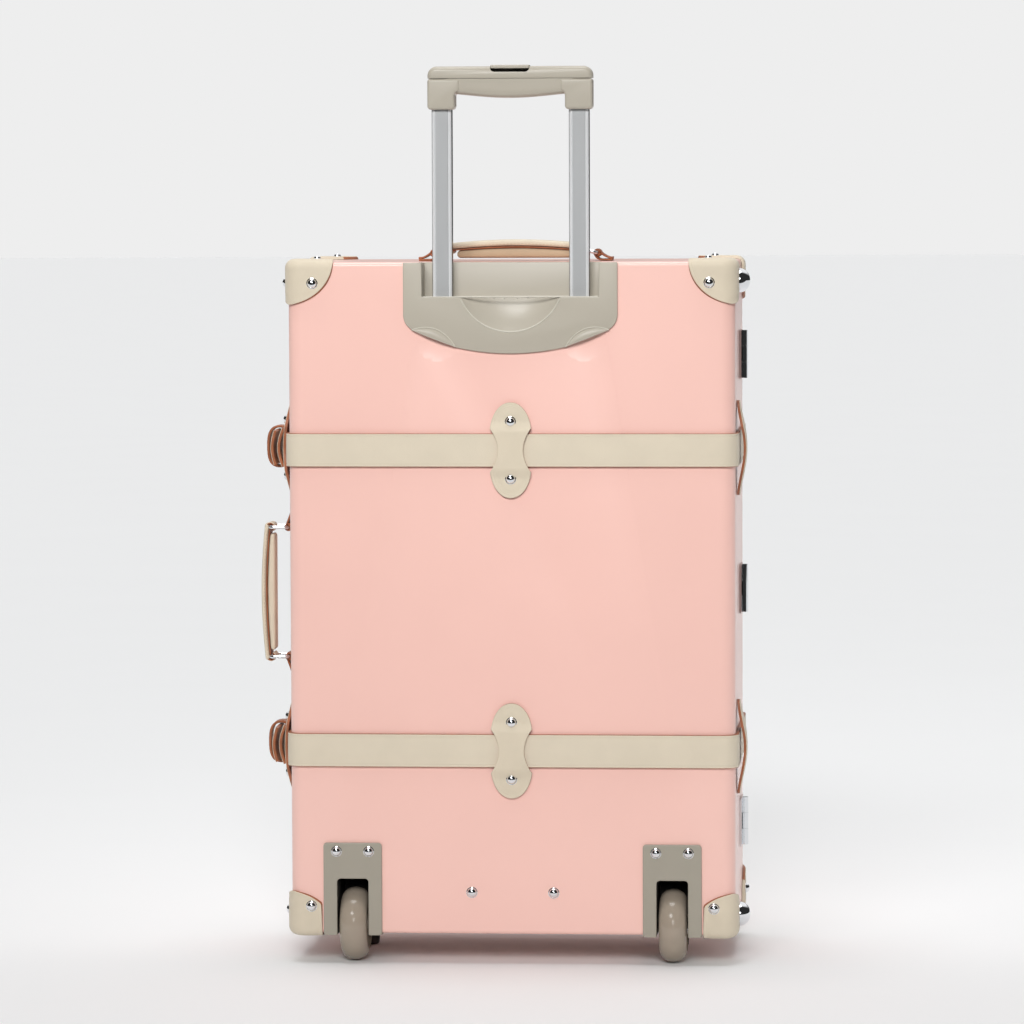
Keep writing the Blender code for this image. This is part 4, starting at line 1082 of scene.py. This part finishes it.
# ---- wheels and feet -------------------------------------------------------------------------
def running_gear(rivets):
    low, high = extent("wheel_housing_right")
    plate_half = (high.x - low.x) / 2
    notch, crook, back, lintel = 15.5 * MM, 3.5 * MM, 65 * MM, 78.7 * MM
    for side, name in SIDES:
        x = side * WHEEL_X
        window = [(notch, low.z)] + arc((notch - crook, lintel - crook), crook, 0, 90, 8)
        window += arc((-notch + crook, lintel - crook), crook, 90, 180, 8) + [(-notch, low.z)]
        border = rounded_box((-plate_half, low.z), (plate_half, high.z), crook)
        plate = flat([[(x + a, b) for a, b in list(reversed(window)) + border]], (low.y, -GAP), XZ)
        plate = rounded(plate, 0.9 * MM, 4, 50)

        def channel(reach, deep, z0, z1, x=x):
            """Walls on three sides of the wheel, open towards the back."""
            ring = [(-reach, -1 * MM), (-notch, -1 * MM), (-notch, back), (notch, back),
                    (notch, -1 * MM), (reach, -1 * MM), (reach, deep), (-reach, deep)]
            return flat([[(x + a, b) for a, b in ring]], (z0, z1), XY)

        well = channel(19.8 * MM, 67.8 * MM, low.z + 0.5 * MM, 82.8 * MM)
        roof = block((x - 19.7 * MM, -1 * MM, lintel), (x + 19.7 * MM, 67.7 * MM, lintel + 4 * MM))
        # the well's walls and roof take the near-black material: painted shade inside the wells
        for painted_shade_mesh in (well, roof):
            for polygon in painted_shade_mesh.polygons:
                polygon.material_index = 1
        shoe = channel(plate_half, 73 * MM, low.z + 0.5 * MM, BOTTOM - GAP)
        mesh = merged(plate, well, roof, shoe)
        node = "wheel_housing_" + name
        add(node + "_moulding", mesh, "case_base", ["housing", "dark"], [node])
        for offset in (-16 * MM, 16 * MM):
            rivets["case_base"].append(rivet((x + offset, low.y, high.z - 8.6 * MM), (0, -1, 0),
                                             5.3 * MM))

        half, radius = 13.75 * MM, WHEEL_Z - FLOOR
        tread = [(24.5 * MM + (radius - 24.5 * MM) * sin(a), half * cos(a))
                 for a in [i * pi / 40 for i in range(1, 20)]] + [(radius, 0)]
        hub = [(3.3 * MM, half), (8.4 * MM, half), (9 * MM, half - 0.6 * MM), (9.4 * MM, 9 * MM),
               (10.5 * MM, 8.5 * MM), (23.5 * MM, 8.5 * MM), (25 * MM, 9.5 * MM)]
        upper = hub + tread
        section = upper + [(r, -z) for r, z in reversed(upper[:-1])]
        mesh = lathe(section, (x, WHEEL_Y, WHEEL_Z), (1, 0, 0), 96, closed=True)
        add(f"wheel_{name}_cast", mesh, f"wheel_{name}", ["wheel"], [f"wheel_{name}"])
        caps = [lathe([(0, 1.6 * MM), (3.5 * MM, 1.5 * MM), (4.6 * MM, 0.8 * MM), (4.8 * MM, 0),
                       (0, 0)], (x + face * (half + 0.1 * MM), WHEEL_Y, WHEEL_Z), (face, 0, 0), 40)
                for face in (-1, 1)]
        add(f"wheel_{name}_washers", merged(*caps), f"wheel_{name}", ["chrome"])

        foot = middle("front_foot_" + name)
        top = BOTTOM - GAP
        profile = [(0, top), (16 * MM, top), (16 * MM, top - 2.2 * MM), (15.4 * MM, top - 3 * MM),
                   (12.6 * MM, top - 5 * MM), (11.2 * MM, FLOOR + 2.2 * MM),
                   (10.6 * MM, FLOOR + 0.8 * MM), (9.5 * MM, FLOOR), (0, FLOOR)]
        add(f"foot_{name}_rubber", lathe(profile, (foot.x, foot.y, 0), (0, 0, 1)), "case_base",
            ["rubber"], [f"front_foot_{name}"])

    for level in LEVELS:
        low, high = extent("side_foot_" + level)
        centre = (low + high) / 2
        dome = high.x - low.x
        profile = [(0, dome)] + [(12 * MM * sin(a), dome * cos(a)) for a in
                                 [i * pi / 28 for i in range(1, 14)]] + [(12 * MM, 0), (0, 0)]
        add(f"side_foot_{level}_dome", lathe(profile, (low.x, centre.y, centre.z), (1, 0, 0)),
            "case_base", ["chrome"], [f"side_foot_{level}"])


# ---- carry handles --------------------------------------------------------------------------
RING_WIRE = 1.75 * MM
RING_ARM = 18.5 * MM
CARRY_HALF = 64.8 * MM
TAB_HEIGHT = 8 * MM


def ring_piece(node, eye, tab, across):
    """A wire ring with round corners between its bar in the tab and its bar in the eye."""
    half = 15.5 * MM
    arm = eye - tab
    loop = rounded_box((0, -half), (arm.length, half), 4 * MM, 8)
    points = [tab + arm.normalized() * x + across * y for x, y in loop]
    add(node + "_wire", pipe(points, RING_WIRE, True), node, ["chrome"], [node], 60)


def strip(path, width, thickness, to_case, crown=0.15 * MM):
    """A flat leather strip along an (along, out) path, square to it, width across it."""
    rows = []
    half = width / 2
    lip = min(0.5 * MM, thickness / 3)
    count = len(path)
    for k, (x, y) in enumerate(path):
        ahead, behind = path[min(k + 1, count - 1)], path[max(k - 1, 0)]
        dx, dy = ahead[0] - behind[0], ahead[1] - behind[1]
        length = sqrt(dx * dx + dy * dy)
        nx, ny = -dy / length, dx / length
        section = [(-half, -thickness / 2 + lip), (-half, thickness / 2 - lip),
                   (-half + lip, thickness / 2), (-half + 1.9 * MM, thickness / 2),
                   (-half + 2.3 * MM, thickness / 2 - 0.25 * MM), (-half + 2.7 * MM, thickness / 2),
                   (0, thickness / 2 + crown)]
        section = section + [(-s, h) for s, h in reversed(section[:-1])]
        section += [(half - lip, -thickness / 2), (-half + lip, -thickness / 2)]
        rows.append([to_case(x + nx * h, y + ny * h, s) for s, h in section])
    size = len(rows[0])
    painted = {0, 11, size - 2, size - 1, size - 3}
    bm = lattice(rows, lambda i, j: 1 if j in painted else 0, close_columns=True)
    bm.verts.ensure_lookup_table()
    for start in (0, (len(rows) - 1) * size):
        bm.faces.new([bm.verts[start + k] for k in range(size)]).material_index = 1
    outward(bm)
    return mesh_from(bm)


def cushion(half_length, half_width, low, high, to_case, squareness=0.45, end=3 * MM):
    """A padded bar between two heights, with rolled sides and softly closed ends."""
    stations = [half_length * (1 - (1 - k / 6) ** 2 * end / half_length) for k in range(7)]
    along = sorted({round(v, 7) for v in [-x for x in stations] + stations
                    + [half_length * k / 30 * (1 - end / half_length) for k in range(-30, 31)]})
    rows, around = [], 36
    for x in along:
        closing = max(0.0, (abs(x) - (half_length - end)) / end)
        taper = sqrt(max(0.0, 1 - closing * closing * 0.8))
        middle_height, half_height = (low(x) + high(x)) / 2, (high(x) - low(x)) / 2
        puff = 1 + 0.02 * sin(x / (5.5 * MM))
        row = []
        for k in range(around):
            a = 2 * pi * k / around
            s = abs(cos(a)) ** squareness * (1 if cos(a) > 0 else -1)
            h = abs(sin(a)) ** (squareness * 1.3) * (1 if sin(a) > 0 else -1)
            row.append(to_case(x, middle_height + h * half_height * taper,
                               s * half_width * (0.9 + 0.1 * taper) * puff))
        rows.append(row)
    bm = lattice(rows, close_columns=True)
    bm.verts.ensure_lookup_table()
    for start in (0, (len(rows) - 1) * around):
        bm.faces.new([bm.verts[start + k] for k in range(around)])
    outward(bm)
    return mesh_from(bm)


def stitches(path, offset, to_case, radius=0.38 * MM, pitch=3.6 * MM):
    """Short raised thread stitches along a path, at an offset across the strip."""
    meshes, carry = [], 0.0
    for (x0, y0), (x1, y1) in zip(path, path[1:]):
        length = sqrt((x1 - x0) ** 2 + (y1 - y0) ** 2)
        while carry < length:
            t0, t1 = carry / length, (carry + pitch * 0.62) / length
            start = to_case(x0 + (x1 - x0) * t0, y0 + (y1 - y0) * t0, offset)
            finish = to_case(x0 + (x1 - x0) * t1, y0 + (y1 - y0) * t1, offset)
            meshes.append(rod(start, finish, radius, 6))
            carry += pitch
        carry -= length
    return meshes


def handle(name, origin, along, out, across, body, levels, inner_material):
    """A leather handle: a crowned outer strap looped round both rings, and a pad under it."""
    def to_case(x, y, s):
        return origin + along * x + out * y + across * s

    seam, crest, sole = levels
    half_width, grip_half = 12 * MM, 58 * MM

    def bow(x):
        return cos(pi / 2 * min(1.0, abs(x) / CARRY_HALF)) ** 0.9

    def seam_at(x):
        return seam - 3.4 * MM + 3.4 * MM * bow(x)

    def crest_at(x):
        return crest - 3.6 * MM + 3.6 * MM * bow(x)

    upper = cushion(CARRY_HALF + 3.5 * MM, half_width, lambda x: seam_at(x) + 0.55 * MM, crest_at,
                    to_case, 0.5)
    add(name + "_strap", upper, body, ["cream"], [name])
    welt = [(x, seam_at(x)) for x in [(CARRY_HALF + 2.6 * MM) * k / 30 for k in range(-30, 31)]]
    add(name + "_welt", strip(welt, 2 * half_width + 0.3 * MM, 1.2 * MM, to_case, 0), body,
        ["edge", "edge"])
    lower = cushion(grip_half, half_width - 0.4 * MM, lambda x: sole, lambda x: seam_at(x) - 0.5 * MM,
                    to_case, 0.42)
    add(name + "_pad", lower, body, [inner_material])
    for side in (-1, 1):
        turn = [(side * (CARRY_HALF + 3.9 * MM * cos(a)), 3.9 * MM * sin(a) - 0.2 * MM)
                for a in [radians(100 - 12 * k) for k in range(22)]]
        path = turn if side > 0 else list(reversed(turn))
        end = "upper" if side > 0 else "lower"
        add(f"{name}_loop_{end}", strip(path, 2 * half_width - 1 * MM, 1.8 * MM, to_case), body,
            ["cream", "edge"])
    seams = []
    for side in (-1, 1):
        line = [(x, seam_at(x) + 0.42 * (crest_at(x) - seam_at(x))) for x in
                [(CARRY_HALF - 2 * MM) * k / 30 for k in range(-30, 31)]]
        seams += stitches(line, side * (half_width - 0.05 * MM), to_case)
    add(name + "_stitches", merged(*seams), body, ["thread"])


def tab_piece(node, ring_at, along, out, across, foot, drop):
    """A folded leather tab round the ring's bar, tapering down to the wall."""
    def to_case(x, y, s):
        return ring_at + along * x + out * y + across * s

    radius, thick = 3.1 * MM, 1.9 * MM
    base = -TAB_HEIGHT + GAP + thick / 2
    under = [(foot * (1 - k / 8), base) for k in range(7)]
    under += [(1.5 * MM, base + 0.7 * MM), (-0.8 * MM, base + 2.4 * MM)]
    turn = [(radius * cos(radians(a)), radius * sin(radians(a))) for a in range(-165, -446, -14)]
    top = base + thick * 1.03
    over = []
    for k in range(1, 13):
        t = k / 12
        fall = min(1.0, t * foot / drop)
        over.append((radius * 0.1 + foot * t, radius + (top - radius) * (1 - (1 - fall) ** 1.7)))
    mesh = strip(under + turn + over, 24 * MM, thick, to_case)
    add(node + "_leather", mesh, "case_base", ["brown", "edge"], [node])
    if foot > 20 * MM:
        add(node + "_rivet", rivet(to_case(foot - 9 * MM, top + thick / 2, 0), out, 3.8 * MM),
            "case_base", ["chrome"])


def carry_handles():
    eye_top, eye_side = 12 * MM, TAB_HEIGHT + RING_ARM
    along, out, across = Vector((1, 0, 0)), Vector((0, 0, 1)), Vector((0, 1, 0))
    origin = Vector((0, middle("top_handle").y, TOP + eye_top))
    handle("top_handle", origin, along, out, across, "top_handle",
           (1.9 * MM, 9.5 * MM, -9.0 * MM), "tan")
    rise = eye_top - TAB_HEIGHT
    run = sqrt(RING_ARM ** 2 - rise ** 2)
    lifted = rise + 7 * MM
    play = run - sqrt(RING_ARM ** 2 - lifted ** 2)
    for side, name in SIDES:
        eye = origin + along * side * (CARRY_HALF - play / 2)
        tab = eye + along * side * run - out * rise
        ring_piece("top_ring_" + name, eye, tab, across)
        tab_piece("top_handle_tab_" + name, tab, along * side, out, across, 15 * MM, 13 * MM)
    along, out = Vector((0, 0, 1)), Vector((-1, 0, 0))
    low, high = extent("side_handle")
    origin = Vector((-HALF - eye_side, (low.y + high.y) / 2, (low.z + high.z) / 2))
    handle("side_handle", origin, along, out, across, "side_handle",
           (3.6 * MM, 9.5 * MM, -5.2 * MM), "cream")
    for side, name in ((-1, "lower"), (1, "upper")):
        eye = origin + along * side * CARRY_HALF
        tab = eye - out * RING_ARM
        ring_piece("side_ring_" + name, eye, tab, across)
        tab_piece("side_handle_tab_" + name, tab, along * side, out, across, 36 * MM, 26 * MM)


def keepers():
    """On the left side, the belt's end lies over the guard and a loop holds both."""
    for level in LEVELS:
        z = STRAP_Z[level]

        def to_case(x, y, s):
            return Vector((-HALF - y, 84 * MM + s, z + x))

        def tail_case(x, y, s):
            return Vector((-HALF - y, 70 * MM + s, z + x))

        for name, foot, crest, reach in (("under", 12.0 * MM, 4.6 * MM, 19 * MM),
                                         ("tail", 19.5 * MM, 3.2 * MM, 17 * MM)):
            layer = [(reach * k / 12, foot + crest * cos(pi / 2 * k / 12) - crest * 0.35)
                     for k in range(-12, 13)]
            add(f"belt_{name}_{level}", strip(layer, 52 * MM, 3 * MM, tail_case), "case_base",
                ["cream", "edge"])
        reach, half, foot = 29.2 * MM, 20 * MM, 16 * MM
        loop = [(half * 0.72, GAP + 1.2 * MM), (half * 0.86, 9 * MM), (half, foot)]
        for k in range(18):
            a = radians(85 - 10 * k)
            loop.append((half * abs(sin(a)) ** 0.7 * (1 if sin(a) > 0 else -1),
                         foot + (reach - foot) * abs(cos(a)) ** 0.7))
        loop += [(-half, foot), (-half * 0.86, 9 * MM), (-half * 0.72, GAP + 1.2 * MM)]
        add(f"belt_keeper_{level}", strip(loop, 18 * MM, 2.4 * MM, to_case), "case_base",
            ["brown", "edge"])


# ---- what stays from the CAD ------------------------------------------------------------------
def carry_over():
    """Gives each CAD node that stays visible its finished material."""
    stuff = {"base_rim": "aluminium", "base_lining": "lining", "lid_lining": "lining",
             "trolley_guide": "steel"}
    for _, name in SIDES:
        stuff["trolley_middle_tube_" + name] = "aluminium"
        stuff["wheel_axle_" + name] = "chrome"
    for level in ("lower", "middle", "upper"):
        stuff["hinge_base_" + level] = "chrome"
        stuff["hinge_lid_" + level] = "chrome"
    for level in LEVELS:
        for node in ("lock_case_", "lock_hasp_", "lock_button_"):
            stuff[node + level] = "chrome"
    for node, material in stuff.items():
        for holder in bpy.data.objects[node].material_slots:
            holder.material = STUFF[material]


STUFF = make_materials()
camera()
studio()
shells()
RIVETS = corners()
belts()
guards(RIVETS)
bezel()
tubes()
grip()
running_gear(RIVETS)
carry_handles()
keepers()
carry_over()
for rivet_x in (-40 * MM, 41 * MM):
    RIVETS["case_base"].append(rivet((rivet_x, 0, 65.5 * MM), (0, -1, 0)))
for body_name, meshes in RIVETS.items():
    add("rivets_" + body_name, merged(*meshes), body_name, ["chrome"])
